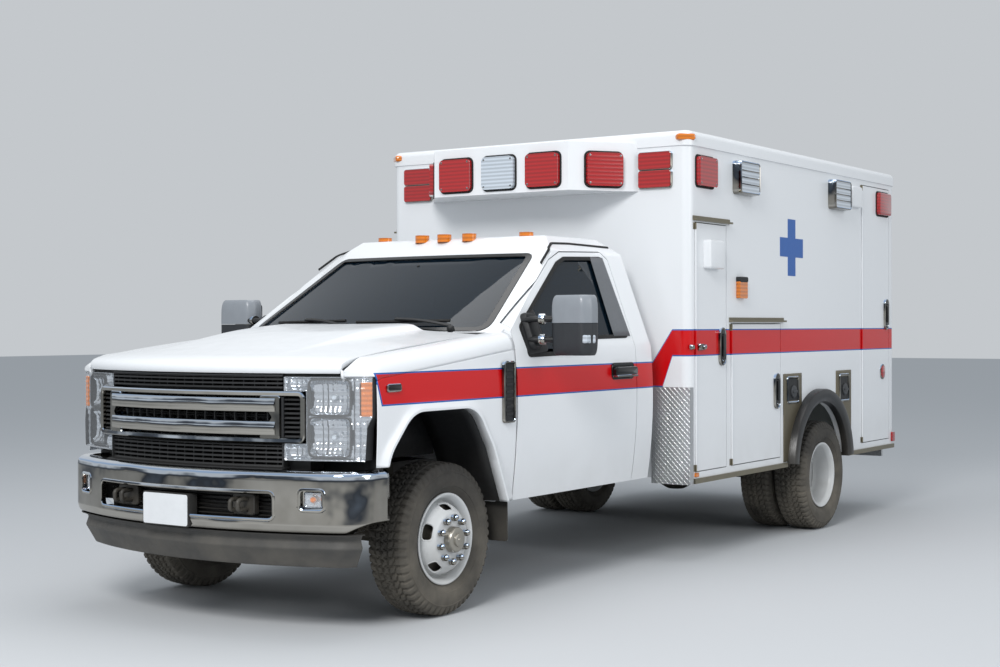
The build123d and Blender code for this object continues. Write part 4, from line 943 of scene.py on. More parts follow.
def tow_hooks():
    """Two bent round bars on each side and the plate between them."""
    bend = filleted([(-0.86, 0.606), (-0.985, 0.606), (-1.0, 0.612), (-1.0, 0.648), (-0.985, 0.656),
            (-0.86, 0.656)], 0.03)
    hooks = []
    for side in SIDES:
        spot = np.stack([np.full(len(bend), side * 0.375), AXLE + bend[:, 0], bend[:, 1]], 1)
        hooks += [tube(spot, 0.011, 12), tube(spot + (side * 0.05, 0, 0), 0.011, 12)]
        hooks.append(moulding(at(side * 0.4, -0.93, 0.631), "front", (0.07, 0.052), 0.014,
                [(0, -0.03), (0, 0), (0.004, 0.005)]))
    return hooks


class AMB_OT_bumper(bpy.types.Operator):
    """Chrome bumper with its opening and lamp pockets, tow hooks and the dark air dam"""

    bl_idname = "ambulance.bumper"
    bl_label = "Bumper and air dam"

    def execute(self, context):
        made = piece("bumper_shell", "chrome", bumper_shell(), finish="bumper_chrome")
        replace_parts(walled(made, 0.006), "front_bumper")
        made = piece("bumper_rims", "chrome", *bumper_rims(), finish="bumper_chrome")
        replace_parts(made, "front_bumper")
        piece("bumper_grid", "black_trim", *bumper_grid())
        piece("tow_hooks", "chassis_black", *tow_hooks())
        dam = bumper_sweep(spread(filleted(DAM_SECTION, 0.012, 5), 40), 60, corner_to=72.0)
        made = piece("air_dam_skin", "black_trim", grid(dam, way=(0, -1, 0)), finish="dam_plastic")
        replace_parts(walled(made, 0.008), "air_dam")
        lip = bumper_sweep(LIP_SECTION, 60, corner_to=72.0)
        piece("air_dam_lip", "black_trim", grid(lip, close_cols=True))
        return {"FINISHED"}


# Headlamp: heights, heights of the notch that the grille fills, x of its inner edge and of the notch's end
LAMP_Z = (0.845, 1.245)
LAMP_NOTCH = (0.925, 1.178)
LAMP_IN = 0.594
LAMP_STEP = 0.706
# Its face in plan: radius of the wide part, then a quadratic curve round the corner
LAMP_RADIUS = 2.196
LAMP_CORNER_X = (0.94, 0.990, 1.0015)
LAMP_CORNER_Y = (-0.7296, -0.7155, -0.687)


def bar_section(z0, z1, front, back):
    """Outline of a grille bar with rolled front edges, as (depth, z)."""
    low = [(back, z0), (front + 0.012, z0), (front + 0.003, z0 + 0.004), (front, z0 + 0.012)]
    return low + [(depth, z0 + z1 - z) for depth, z in low[::-1]]


def grille_bright():
    """Surround, two heavy bars with a groove along each, and a wing at each end."""
    z0, z1 = LAMP_NOTCH
    mid = (z0 + z1) / 2
    lip = [(0.012, -0.06), (0.012, 0.008), (0.008, 0.013), (-0.006, 0.015), (-0.012, 0.009), (-0.012, -0.06)]
    bright = [ring_on(nose, box_outline(LAMP_STEP - 0.0135, (z1 - z0) / 2 - 0.014, 0, mid), lip, 0.024, 420)]
    for low, high in ((0.962, 1.034), (1.074, 1.146)):
        groove = (low + high) / 2
        line = [(-0.0215, groove - 0.012), (-0.0245, groove), (-0.0215, groove + 0.012), (0.0, groove)]
        bright += [bar(bar_section(low, high, -0.021, 0.058), -0.56, 0.56), bar(line, -0.556, 0.556)]
    wing = [(0.47, z0 + 0.022), (0.583, z0 + 0.022), (0.583, z1 - 0.022), (0.47, z1 - 0.022), (0.545, mid)]
    for side in SIDES:
        bright.append(plate_on(filleted(np.array(wing) * (side, 1), 0.012, 3, closed=True), -0.017, 0.058))
    return bright


def grille_fins():
    """Back wall, level fins behind the bars and above and below, upright ribs 62 mm apart, side louvres."""
    z0, z1 = LAMP_NOTCH
    dark = [bar([(0.074, 0.79), (0.074, 1.255), (0.08, 1.255), (0.08, 0.79)], -0.7, 0.7)]
    for z in (0.812, 0.833, 0.854, 0.875, 0.896, 0.912, 1.19, 1.2095, 1.229, 1.244):
        dark.append(bar([(0.004, z), (0.009, z + 0.0085), (0.06, z + 0.0075), (0.06, z)], -0.588, 0.588))
    for z in (0.953, 1.048, 1.058, 1.15):
        dark.append(bar([(0.03, z), (0.034, z + 0.005), (0.06, z + 0.005), (0.06, z)], -0.6, 0.6))
    for x in np.arange(-9, 10) * 0.062:
        for low, high, front in ((0.806, 0.918, 0.016), (0.95, 1.153, 0.03), (1.19, 1.25, 0.016)):
            dark.append(plate_on(box_outline(0.0028, (high - low) / 2, x, (low + high) / 2), front, 0.07,
                    0.001))
    for side in SIDES:
        for z in z0 + 0.03 + np.arange(9) * 0.0222:
            louvre = [(0.002, z), (0.009, z + 0.009), (0.06, z + 0.011), (0.06, z)]
            dark.append(bar(louvre, side * 0.592, side * 0.676))
        dark.append(plate_on(box_outline(0.006, 0.1, side * 0.592, (z0 + z1) / 2), -0.004, 0.06))
    return dark


def grille_lip():
    """Black edges of the grille: one below, one above and one at each end below the notch."""
    below = bar([(-0.03, 0.802), (-0.026, 0.806), (0.006, 0.812), (0.06, 0.812), (0.06, 0.802)], -0.6, 0.6)
    above = bar([(0.002, 1.2495), (0.006, 1.2555), (0.05, 1.2555), (0.05, 1.2495)], -0.59, 0.59)
    return [below, above] + [plate_on(box_outline(0.003, 0.06, side * 0.5915, 0.87), -0.002, 0.06)
        for side in SIDES]


class AMB_OT_grille(bpy.types.Operator):
    """Bright surround, two heavy bars and wings over dark fins, ribs and side louvres"""

    bl_idname = "ambulance.grille"
    bl_label = "Grille"

    def execute(self, context):
        made = piece("grille_bright", "chrome", *grille_bright(), finish="grille_chrome")
        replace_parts(made, "grille")
        made = piece("grille_fins", "black_trim", *grille_fins())
        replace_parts(made, "grille")
        piece("grille_lip", "black_trim", *grille_lip())
        return {"FINISHED"}


def lamp_grid(depth):
    """Points of the lamp's face pushed in by depth(x, z), its faces outside the notch, and their x and z."""
    z = np.concatenate([np.linspace(LAMP_Z[0], LAMP_NOTCH[0], 13)[:-1], np.linspace(*LAMP_NOTCH, 41)[:-1],
            np.linspace(LAMP_NOTCH[1], LAMP_Z[1], 12)])
    arc_x = np.concatenate([np.linspace(LAMP_IN, LAMP_STEP, 18)[:-1],
            np.linspace(LAMP_STEP, LAMP_CORNER_X[0], 39)])
    limit = np.interp(z, (0.84, 1.0, 1.052), (0.976, 0.985, LAMP_CORNER_X[2]))
    t = np.linspace(0, 1, 60)
    t = np.interp(limit, curve(*LAMP_CORNER_X, t), t)[:, None] * np.linspace(0, 1, 17)[1:]
    arc_y = NOSE_Y - np.sqrt(LAMP_RADIUS ** 2 - arc_x ** 2)
    x = np.concatenate([np.broadcast_to(arc_x, (len(z), len(arc_x))), curve(*LAMP_CORNER_X, t)], 1)
    y = np.concatenate([np.broadcast_to(arc_y, (len(z), len(arc_y))), curve(*LAMP_CORNER_Y, t)], 1)
    way = np.stack([-np.gradient(y, axis=1), np.gradient(x, axis=1)], -1)
    way /= -np.linalg.norm(way, axis=-1)[..., None]
    z = np.broadcast_to(z[:, None], x.shape)
    push = depth(x, z)
    points = np.stack([x - way[..., 0] * push, AXLE + y - way[..., 1] * push, z], -1)
    mid_x, mid_z = centres(x), centres(z)
    keep = ~((mid_x < LAMP_STEP) & (mid_z > LAMP_NOTCH[0]) & (mid_z < LAMP_NOTCH[1]))
    return points, keep, mid_x, mid_z


def lamp_margin(x, z):
    """Distance in from the headlamp's outline and from its notch."""
    sides = np.minimum.reduce([x - LAMP_IN, LAMP_CORNER_X[2] - x, z - LAMP_Z[0], LAMP_Z[1] - z])
    notch = np.maximum.reduce([x - LAMP_STEP, LAMP_NOTCH[0] - z, z - LAMP_NOTCH[1]])
    return np.maximum(np.minimum(sides, notch), 0)


# Reflector bowls: middle x and z, half width, half height, depth
BOWLS = ((0.812, 0.958, 0.105, 0.098, 0.05), (0.812, 1.146, 0.105, 0.09, 0.05),
    (0.652, 0.885, 0.052, 0.034, 0.026), (0.652, 1.212, 0.052, 0.029, 0.026))


def reflector_depth(x, z):
    """Half ellipsoid bowls with a cubed rim; facets, the fold of two sine waves; all rises to the outline."""
    depth = np.full_like(x, 0.012)
    for mid_x, mid_z, half, high, deep in BOWLS:
        far = np.abs((x - mid_x) / half) ** 3 + np.abs((z - mid_z) / high) ** 3
        depth = np.maximum(depth, 0.012 + deep * np.clip(1 - far, 0, 1) ** 0.5)
    facet = 0.004 * (np.abs(np.sin(x * np.pi / 0.024)) + np.abs(np.sin(z * np.pi / 0.034)))
    post = np.where((x > 0.925) & (x < 0.948), 0.006, 0)
    cell = np.where((x > 0.953) & (z > 1.055) & (z < 1.225), 0.009, 0)
    return 0.0035 + np.maximum(depth + facet - post - cell, 0.001) * np.clip(lamp_margin(x, z) / 0.01, 0, 1)


def cover_depth(x, z):
    """The clear cover lies 0.8 mm in all over."""
    return np.full_like(x, 0.0008)


def in_lamp(x, z):
    """Points 12 mm behind the front's arc."""
    return nose(x, z, 0.012)


def lamp_bezels():
    """Dark rings round the two large bowls."""
    section = [(0.004, -0.03), (0.004, 0.0), (-0.004, 0.0), (-0.004, -0.03)]
    return [ring_on(in_lamp, box_outline(0.098, high, 0.812, z), section, 0.03, 90) for high,
        z in ((0.094, 0.957), (0.086, 1.147))]


def lamp_bulbs():
    """Bulbs in the middle of the two large bowls, turned about a line towards the front."""
    x = 0.812
    profile = [(-0.012, 0.002), (-0.01, 0.011), (0, 0.013), (0.03, 0.013)]
    return [lathe(at(x, NOSE_Y - math.sqrt(2.155 ** 2 - x * x), z), (-x, 2.0, 0), profile, 20)
        for z in (0.957, 1.147)]


def lamp_housing():
    """Black wall round the lamp, from 4 mm behind its face straight back, closed by a rear wall."""
    outline = [(0.594, 0.847), (0.974, 0.847), (0.983, 1.0), (0.999, 1.053), (0.999, 1.243), (0.594, 1.243),
        (0.594, 1.18), (0.708, 1.18), (0.708, 0.923), (0.594, 0.923)]
    outline = spread(np.array(outline), 160, closed=True)
    x = outline[:, 0]
    y = np.where(x > LAMP_CORNER_X[0], np.interp(x, LAMP_END_X, LAMP_END_Y),
        NOSE_Y - np.sqrt(LAMP_RADIUS ** 2 - x ** 2))
    fore = np.stack([x, AXLE + y + 0.004, outline[:, 1]], 1)
    aft = fore * (1, 0, 1) + (0, AXLE - 0.655, 0)
    points, faces = grid(np.stack([fore, aft]), close_cols=True)
    return points, faces + [list(range(160, 320))]


class AMB_OT_headlamps(bpy.types.Operator):
    """Headlamps: faceted reflector bowls, a bright post, an amber end and a clear cover"""

    bl_idname = "ambulance.headlamps"
    bl_label = "Headlamps"

    def execute(self, context):
        inner, keep, mid_x, mid_z = lamp_grid(reflector_depth)
        amber = keep & (mid_x > 0.953) & (mid_z > 1.06) & (mid_z < 1.222)
        skin, kept, _, _ = lamp_grid(cover_depth)
        ahead = (0.2, -1, 0)
        for name, finish, wall, *forms in (("reflector", "headlamp", 0.0015,
                    grid(inner, keep & ~amber, ahead)),
                ("turn_cell", "amber_lens", 0.0015, grid(inner, amber, ahead)),
                ("cover", "lamp_cover", 0.0, grid(skin, kept, ahead)),
                ("bezels", "black_trim", 0.0, *lamp_bezels()), ("bulbs", "clear_lens", 0.0, *lamp_bulbs()),
                ("housing", "black_trim", 0.0, lamp_housing())):
            both_sides(f"headlamp_{name}", "headlamp", *forms, finish=finish, wall=wall,
                stands_for="headlamps")
        return {"FINISHED"}


# Middle of the number plate
PLATE_X, PLATE_Z = -0.038, 0.588


class AMB_OT_plate(bpy.types.Operator):
    """Blank number plate on its bracket, with four bolts"""

    bl_idname = "ambulance.plate"
    bl_label = "Number plate"

    def execute(self, context):
        bracket = moulding(at(PLATE_X, -1.025, PLATE_Z), "front", (0.158, 0.082), 0.012,
            [(0, -0.06), (0, -0.001), (0.0006, 0)])
        piece("plate_bracket", "black_trim", bracket)
        plate = moulding(at(PLATE_X, -1.0255, PLATE_Z), "front", (0.1525, 0.0765), 0.012,
            [(0, 0), (0, 0.0014), (0.0006, 0.002)])
        piece("number_plate", "white_paint", plate, finish="plate")
        bolts = [lathe(at(PLATE_X + across * 0.105, -1.0228, PLATE_Z + up * 0.058), (0, -1, 0),
                [(0, 0.0065), (0.0012, 0.006), (0.0018, 0.003)], 12) for across in SIDES for up in SIDES]
        piece("plate_bolts", "chrome", *bolts)
        return {"FINISHED"}


# Fog lamp's parts: name, slot, finish, half size, corner and profile of (inset, height)
FOG_PARTS = (
    ("boxes", "chrome", "bumper_chrome", (0.06, 0.052), 0.024,
        [(0, -0.03), (0, 0.03), (0.0015, 0.03), (0.004, -0.006), (0.02, -0.01)]),
    ("bowls", "clear_lens", "headlamp", (0.046, 0.038), 0.01,
        [(0, -0.01), (0, 0.008), (0.003, 0.01), (0.006, 0.004), (0.02, -0.004)]),
    ("bulbs", "amber_lens", None, None, None, [(0, 0.016), (0.008, 0.0155), (0.013, 0.01), (0.0135, 0.002)]),
    ("glasses", "clear_lens", "lamp_cover", (0.042, 0.034), 0.008,
        [(0, 0.011), (0, 0.0135), (0.004, 0.0145)]))


class AMB_OT_fog_lamps(bpy.types.Operator):
    """Fog lamps in the bumper: box, bowl, turned bulb and glass"""

    bl_idname = "ambulance.fog_lamps"
    bl_label = "Fog lamps"

    def execute(self, context):
        for what, slot, finish, half, corner, profile in FOG_PARTS:
            forms = []
            for side in SIDES:
                look = ((0.935, side * 0.354, 0), (0, 0, 1))
                place = nose(side * FOG_LAMP[3], FOG_LAMP[4], 0.035, BUMPER_Y)[0]
                forms.append(moulding(place, look, half, corner, profile) if half
                    else lathe(place, np.cross(*look), profile, 20))
            piece(f"fog_lamp_{what}", slot, *forms, finish=finish)
        return {"FINISHED"}


class AMB_OT_vents(bpy.types.Operator):
    """Fender vents with seven slats, and the side markers ahead of them"""

    bl_idname = "ambulance.vents"
    bl_label = "Fender vents"

    def execute(self, context):
        vent = on_side(0.455, 1.135)[0]
        mark = on_side(-0.535, 1.19)[0]
        frame_profile = [(0, -0.004), (0, 0.009), (0.004, 0.013), (0.01, 0.013), (0.013, 0.008),
            (0.013, -0.003)]
        slats = [moulding(vent + (0.002, 0, -0.118 + 0.0393 * k), "left", (0.034, 0.009), 0.004,
                [(0, -0.002), (0, 0.005), (0.003, 0.0085)]) for k in range(7)]
        both_sides("fender_vent_edge", "chrome",
            moulding(vent, "left", (0.057, 0.165), 0.022, frame_profile, ring=True))
        panel = moulding(vent, "left", (0.047, 0.155), 0.018, [(0, -0.004), (0, 0.003), (0.002, 0.0035)])
        both_sides("fender_vent_panel", "black_trim", panel)
        both_sides("fender_vent_slats", "black_trim", *slats)
        edge = moulding(mark - (0.002, 0, 0), "left", (0.056, 0.02), 0.012,
            [(0, -0.004), (0, 0.005), (0.003, 0.008), (0.006, 0.0085)])
        both_sides("fender_vent_marker", "chrome", edge)
        face = moulding(mark + (0.006, 0, 0), "left", (0.047, 0.0125), 0.008,
            [(0, 0), (0, 0.0015), (0.002, 0.0025)])
        both_sides("fender_vent_marker_face", "black_trim", face, finish="black_gloss")
        return {"FINISHED"}


# Half of a tyre's section from bead to shoulder: offset from its middle, radius; the steps are moulded ridges
TYRE_SIDE = ((0.086, 0.2164), (0.088, 0.236), (0.1, 0.252), (0.112, 0.266), (0.1135, 0.270), (0.118, 0.273),
    (0.1215, 0.288),
    (0.123, 0.306), (0.1222, 0.324), (0.1196, 0.338), (0.1212, 0.340), (0.1206, 0.344), (0.1176, 0.346),
    (0.1142, 0.356), (0.111, 0.366), (0.1065, 0.376), (0.1005, 0.384), (0.094, 0.3885))
CROWN_RADIUS = 0.3948
# The tread repeats in pitches round the tyre, each of a few steps
PITCHES = 56
STEPS_A_PITCH = 7
# Rows of blocks: from, to off the middle, start and slant of the cross grooves in pitches, half their width
# in pitches
BLOCK_ROWS = ((0.0, 0.021, 0.25, 13.0, 0.08), (0.021, 0.057, 0.55, -8.0, 0.12), (0.057, 0.13, 0.0, 3.0, 0.17))
ROUND_GROOVES = (-0.058, -0.022, 0.022, 0.058)
# Wheels of one side: end, their body, their node's ending, distance behind the front axle, middles of the
# rims
TRACK = 0.83
WHEELS = (("front", "front_wheel", "", 0.0, (TRACK,)),
    ("rear", "rear_wheels", "s", WHEELBASE, (1.098, TRACK)))


def tyre_form(x, y, depth):
    """Tyre turned about its axle.

    Across the tread the radius drops by the groove depth where a zigzag groove runs round it, or where a
    slanted groove crosses a row of blocks. On the shoulder the cross grooves run on and cut inwards.
    """
    half = np.array(TYRE_SIDE)
    lane = np.linspace(-0.092, 0.092, 47)[1:-1]
    crown = np.stack([lane, CROWN_RADIUS - 0.62 * lane ** 2], 1)
    section = np.concatenate([half * (-1, 1), crown, half[::-1]])
    turn, offset = np.meshgrid(np.arange(PITCHES * STEPS_A_PITCH) / STEPS_A_PITCH, section[:, 0],
        indexing="ij")
    radius = np.broadcast_to(section[:, 1], turn.shape)
    swing = 4 * np.abs(turn - np.floor(turn + 0.5)) - 1
    cut = np.zeros_like(turn)
    for groove in ROUND_GROOVES:
        far = np.abs(offset - groove - 0.005 * swing * np.sign(groove))
        cut = np.maximum(cut, np.clip((0.0048 - far) / 0.002 + 0.5, 0, 1))
    for low, high, begin, slant, wide in BLOCK_ROWS:
        row = (np.abs(offset) >= low) & (np.abs(offset) < high)
        phase = turn + begin + slant * offset + 0.5 * (offset < 0)
        far = np.abs(phase - np.round(phase))
        cut = np.where(row, np.maximum(cut, np.clip((wide - far) / 0.06 + 0.5, 0, 1)), cut)
    tread = ((np.abs(offset) < 0.0935) & (radius > 0.38)) * 1.0
    wall = (1 - tread) * np.clip((radius - 0.352) / 0.008, 0, 1)
    radius = radius - depth * cut * (tread + 0.5 * wall)
    offset = offset - np.sign(offset) * 0.55 * depth * cut * wall
    return grid(about_axle(x + offset, y, radius, turn / PITCHES * 2 * np.pi), close_rows=True,
        close_cols=True)


class AMB_OT_tyres(bpy.types.Operator):
    """All-terrain tyres with cut tread blocks and ridged sidewalls"""

    bl_idname = "ambulance.tyres"
    bl_label = "Tyres"

    def execute(self, context):
        depth = context.scene.ambulance_sizes.tread_depth
        for end, body, plural, y, middles in WHEELS:
            tyres = [tyre_form(x, y, depth) for x in middles]
            both_sides(f"{end}_tread", "tyre", *tyres, body=body, stands_for=f"{end}_tyre{plural}")
        return {"FINISHED"}


# Outer face of a disc wheel from the rim's edge to the hub bore: offset from the rim's middle, radius
RIM_EDGE = ((0.086, 0.2155), (0.09, 0.2345), (0.098, 0.236), (0.1015, 0.231), (0.098, 0.222), (0.086, 0.2135),
    (0.068, 0.2065))
FRONT_DISH = RIM_EDGE + ((0.045, 0.2035), (0.033, 0.1985), (0.036, 0.1925), (0.052, 0.1885), (0.082, 0.1805),
    (0.103, 0.167), (0.119, 0.152), (0.129, 0.141), (0.1335, 0.132), (0.134, 0.126), (0.134, 0.05))
REAR_DISH = RIM_EDGE + ((0.02, 0.204), (-0.03, 0.201), (-0.058, 0.194), (-0.082, 0.1845), (-0.103, 0.1685),
    (-0.119, 0.1525), (-0.129, 0.141), (-0.1335, 0.132), (-0.134, 0.126), (-0.134, 0.05))
HAND_HOLES = 5
HOLE_HALF = (0.0445, 0.03)
HOLE_CORNER = 0.026
HOLE_CIRCLE = 0.17
NUTS = 10
NUT_CIRCLE = 0.112
HUB_FACE = 0.9642
HUB_CAPS = {"front": [(-0.02, 0.06), (0, 0.064), (0.004, 0.067), (0.03, 0.0655), (0.038, 0.0615),
        (0.0415, 0.054),
        (0.042, 0.036), (0.05, 0.034), (0.052, 0.031), (0.0525, 0.012), (0.0545, 0.011), (0.055, 0.004)],
    "rear": [(-0.02, 0.06), (0, 0.064), (0.05, 0.0625), (0.057, 0.059), (0.0605, 0.05), (0.0612, 0.02)]}


def disc_wheel(x, y, dish):
    """Steel wheel turned about its axle, five hand holes through the bell and rolled edges round them."""
    section = spread(np.array(dish), 84)
    far = np.linspace(0, np.linalg.norm(np.diff(np.array(dish), axis=0), axis=1).sum(), 84)
    bell = far[26:]
    hole_at = np.interp(-0.1695, -section[26:, 1], bell)

    def surface(angle, s):
        """Points at an angle and a distance along the section, and the way out there."""
        offset, radius = (np.interp(s, far, line) for line in section.T)
        slope_o, slope_r = (np.interp(s + 0.002, far, line) - np.interp(s - 0.002, far, line)
            for line in section.T)
        out = np.stack(np.broadcast_arrays(-slope_r, slope_o * np.sin(angle), slope_o * np.cos(angle)), -1)
        return about_axle(x + offset, y, radius, angle), out / np.linalg.norm(out, axis=-1)[..., None]

    angle = np.linspace(0, 2 * np.pi, 241)[:-1]
    pitch = 2 * np.pi / HAND_HOLES
    local = (angle + np.pi / 240 + pitch / 2) % pitch - pitch / 2
    mid = 0.5 * (far[1:] + far[:-1])
    hole = in_box(local[:, None] * HOLE_CIRCLE, mid[None], *HOLE_HALF, HOLE_CORNER, 0, hole_at)
    disc = grid(surface(angle[:, None], far[None])[0], keep=~hole, way=(1, 0, 0), close_rows=True)
    roll = [(0.0045, -0.006), (0.0045, 0.0), (0.0015, 0.0022), (-0.002, 0.001), (-0.004, -0.006)]
    path = spread(filleted(box_outline(*HOLE_HALF, 0, hole_at), HOLE_CORNER, closed=True), 72, closed=True)
    edges = []
    for k in range(HAND_HOLES):
        spot, way = surface(path[:, 0] / HOLE_CIRCLE + k * pitch, path[:, 1])
        edges.append(carried(spot, roll, way, closed=True))
    return disc, edges


def barrel(x, y, lip):
    """Inner barrel of a rim: a closed section from the disc's lip to the rear edge, turned about the axle."""
    section = np.array([(lip, 0.2055), (-0.086, 0.2155), (-0.09, 0.2345), (-0.1015, 0.231), (-0.09, 0.2135),
            (lip, 0.19)])
    angle = np.linspace(0, 2 * np.pi, 97)[:-1, None]
    return grid(about_axle(x + section[:, 0], y, section[:, 1], angle), close_rows=True, close_cols=True)


class AMB_OT_wheels(bpy.types.Operator):
    """White disc wheels with hand holes, chrome nut covers and hub caps"""

    bl_idname = "ambulance.wheels"
    bl_label = "Wheels"

    def execute(self, context):
        cover = [(0, 0.0172), (0.003, 0.0187), (0.02, 0.0187), (0.03, 0.0145), (0.0345, 0.007)]
        drum = [(-0.02, 0.12), (-0.015, 0.176), (0.05, 0.178), (0.06, 0.17), (0.075, 0.11), (0.12, 0.1),
            (0.128, 0.05)]
        for (end, body, plural, y, middles), dish, lip in zip(WHEELS, (FRONT_DISH, REAR_DISH),
                (0.018, -0.05)):
            disc, edges = disc_wheel(middles[0], y, dish)
            rims = f"{end}_rim{plural}"
            both_sides(f"{end}_disc", "wheel_steel", disc, body=body, stands_for=rims)
            both_sides(f"{end}_hole_edges", "wheel_steel", *edges, body=body, stands_for=rims)
            barrels = [barrel(x, y, lip) for x in middles]
            both_sides(f"{end}_barrels", "wheel_steel", *barrels, body=body, stands_for=rims)
            brake = lathe(at(TRACK, y, AXLE_Z), (1, 0, 0), drum, 48)
            both_sides(f"{end}_drum", "casting", brake, body=body, stands_for=rims)
            places = about_axle(HUB_FACE, y, NUT_CIRCLE, np.arange(NUTS) * 2 * np.pi / NUTS + 0.1)
            nuts = [lathe(place, (1, 0, 0), cover, 12) for place in places]
            both_sides(f"{end}_nuts", "chrome", *nuts, body=body)
            cap = lathe(at(HUB_FACE, y, AXLE_Z), (1, 0, 0), HUB_CAPS[end], 48)
            both_sides(f"{end}_hub_cap", "wheel_steel", cap, body=body, finish="hub_metal")
        return {"FINISHED"}


# Door window's outline as (y, z), and the windscreen's as (x, z)
WINDOW = ((0.672, 1.327), (0.65, 1.48), (1.235, 1.85), (1.33, 1.882), (1.77, 1.896), (1.8, 1.424),
    (1.26, 1.418), (1.15, 1.334))
SCREEN = ((-0.838, 1.468), (0.838, 1.468), (0.7, 1.9), (-0.7, 1.9))
PILLAR_FRONT = 1.64
PILLAR_Z = (1.425, 1.9)
PILLAR_REAR = (1.835, 1.786)


def pillar_cover():
    """Ribbed film behind the window: 13 ribs, the fold of a sine wave 1.1 mm high, fading at both edges."""
    z, u = np.meshgrid(np.linspace(*PILLAR_Z, 14), np.linspace(0, 1, 91), indexing="ij")
    y = PILLAR_FRONT + (np.interp(z, PILLAR_Z, PILLAR_REAR) - PILLAR_FRONT) * u
    rib = 0.0011 * np.abs(np.sin(u * np.pi * 13)) * np.clip((u - 0.06) / 0.04, 0,
        1) * np.clip((0.94 - u) / 0.04, 0, 1)
    spot, way = on_side(y, z)
    return grid(spot + way * (0.005 + rib)[..., None], way=(1, 0, 0.3))


def mirror_sail():
    """Black corner of the window that carries the mirror: rings that shrink as they rise, open behind."""
    outline = filleted([(0.66, 1.33), (0.655, 1.475), (0.83, 1.585), (0.865, 1.345)], 0.02, closed=True)
    outline = spread(outline, 60, closed=True)
    rings = []
    for shrink, out in ((1.0, -0.002), (1.0, 0.006), (0.95, 0.009), (0.5, 0.0095)):
        line = outline.mean(0) + (outline - outline.mean(0)) * shrink
        rings.append(on_side(line[:, 0], line[:, 1], out)[0])
    points, faces = grid(np.stack(rings), close_cols=True)
    return outward((points, faces + [list(range(180, 240))]))


def roof_ditch():
    """Strip that follows the roof's edge over the door."""
    path = spread(filleted([(1.06, 1.845), (1.21, 1.94), (1.3, 1.972), (1.5, 1.978), (1.96, 1.972)], 0.1), 60)
    spot, way = on_side(path[:, 0], path[:, 1], 0.0002)
    return carried(spot, strip_outline(0.008, 0.006), way)


class AMB_OT_glazing(bpy.types.Operator):
    """Window seals, ribbed pillar covers, mirror sails and roof mouldings"""

    bl_idname = "ambulance.glazing"
    bl_label = "Glazing trim"

    def execute(self, context):
        seal = ring_on(on_side, WINDOW, strip_outline(0.012, 0.004), 0.02)
        both_sides("window_seal", "rubber", seal, body="cab_door")
        both_sides("pillar_cover", "grey_plastic", pillar_cover(), body="cab_door", finish="pillar",
            wall=0.004)
        both_sides("mirror_sail", "black_trim", mirror_sail(), body="cab_door")
        both_sides("roof_ditch", "rubber", roof_ditch())
        return {"FINISHED"}


def wiper_blade(shift):
    """Blade that lies 14 mm off the screen."""
    x = np.linspace(0.05, 0.62, 30)
    spot, way = on_screen(x + shift, 1.497 + 0.014 * x, 0.014)
    return carried(spot, [(0.006, -0.006), (0.009, 0.004), (0, 0.009), (-0.009, 0.004), (-0.006, -0.006)],
        way)


def wiper_arm(shift):
    """Arm that bows out by half a sine wave, and its turned foot."""
    spot, way = on_screen(np.linspace(0.66, 0.3, 16) + shift, np.linspace(1.468, 1.506, 16), 0.022)
    bow = 0.012 * np.sin(np.linspace(0, np.pi, 16))
    arm = carried(spot + way * bow[:, None], [(0.011, 0), (0.009, 0.007), (-0.009, 0.007), (-0.011, 0)], way)
    spot, way = on_screen(0.665 + shift, 1.462, 0.006)
    return arm, lathe(spot, way, [(0, 0.022), (0.014, 0.02), (0.022, 0.014), (0.024, 0.004)], 20)


class AMB_OT_screen(bpy.types.Operator):
    """Windscreen's black edge, two wipers and the inner mirror"""

    bl_idname = "ambulance.screen"
    bl_label = "Windscreen trim"

    def execute(self, context):
        edge = ring_on(on_screen, SCREEN, strip_outline(0.02, 0.004), 0.04, 300)
        piece("screen_seal", "rubber", edge, finish="black_gloss")
        shifts = (0.0, -0.66)
        piece("wiper_blades", "rubber", *[wiper_blade(shift) for shift in shifts])
        piece("wiper_arms", "black_trim", *[form for shift in shifts for form in wiper_arm(shift)])
        mirror = moulding(at(0, 1.045, 1.79), "rear", (0.125, 0.036), 0.03,
            [(0, -0.02), (-0.002, 0), (0.002, 0.006)])
        stem = tube([at(0, 1.03, 1.8), at(0, 1.02, 1.82), at(0, 1.0, 1.85)], 0.01)
        piece("inner_mirror", "black_trim", mirror, stem)
        return {"FINISHED"}


# Mirror head in plan as (x, y), its middle, and the heights and half sizes of its two glasses
HEAD_PLAN = ((1.089, 0.715), (1.115, 0.672), (1.2, 0.652), (1.3, 0.648), (1.331, 0.7), (1.325, 0.79),
    (1.089, 0.79))
HEAD_MIDDLE = np.array([1.21, 0.755])
GLASSES = ((1.545, (0.108, 0.08)), (1.388, (0.108, 0.034)))
ARM_Z = (1.413, 1.525)


def mirror_head(z0, z1, spare):
    """Shell of the mirror between two heights: rings of a rounded plan that shrinks to top and bottom."""
    z = np.linspace(z0, z1, 24)
    swell = np.clip(1 - np.abs((z - 1.49) / 0.167) ** 5, 0.0, 1) ** 0.4
    plan = spread(filleted(HEAD_PLAN, 0.035, closed=True), 72, closed=True)
    size = (0.72 + 0.28 * swell)[:, None, None]
    ring = HEAD_MIDDLE + (plan - HEAD_MIDDLE) * size * (1 + spare)
    ring[..., 1] = np.where(plan[:, 1] > 0.78, 0.79, ring[..., 1])
    ring = (ring - HEAD_MIDDLE) * (1.1, 1.0) + HEAD_MIDDLE + (0.018, 0.045)
    return solid(np.concatenate([ring, np.broadcast_to(z[:, None, None], ring.shape[:2] + (1,))], -1)
        + (0, AXLE, 0))


def mirror_glass():
    """The two glasses of the mirror's rear face."""
    return [moulding(at(1.223, 0.8345, z), "rear", half, 0.02, [(0, 0), (0.0008, 0.0016)]) for z,
        half in GLASSES]


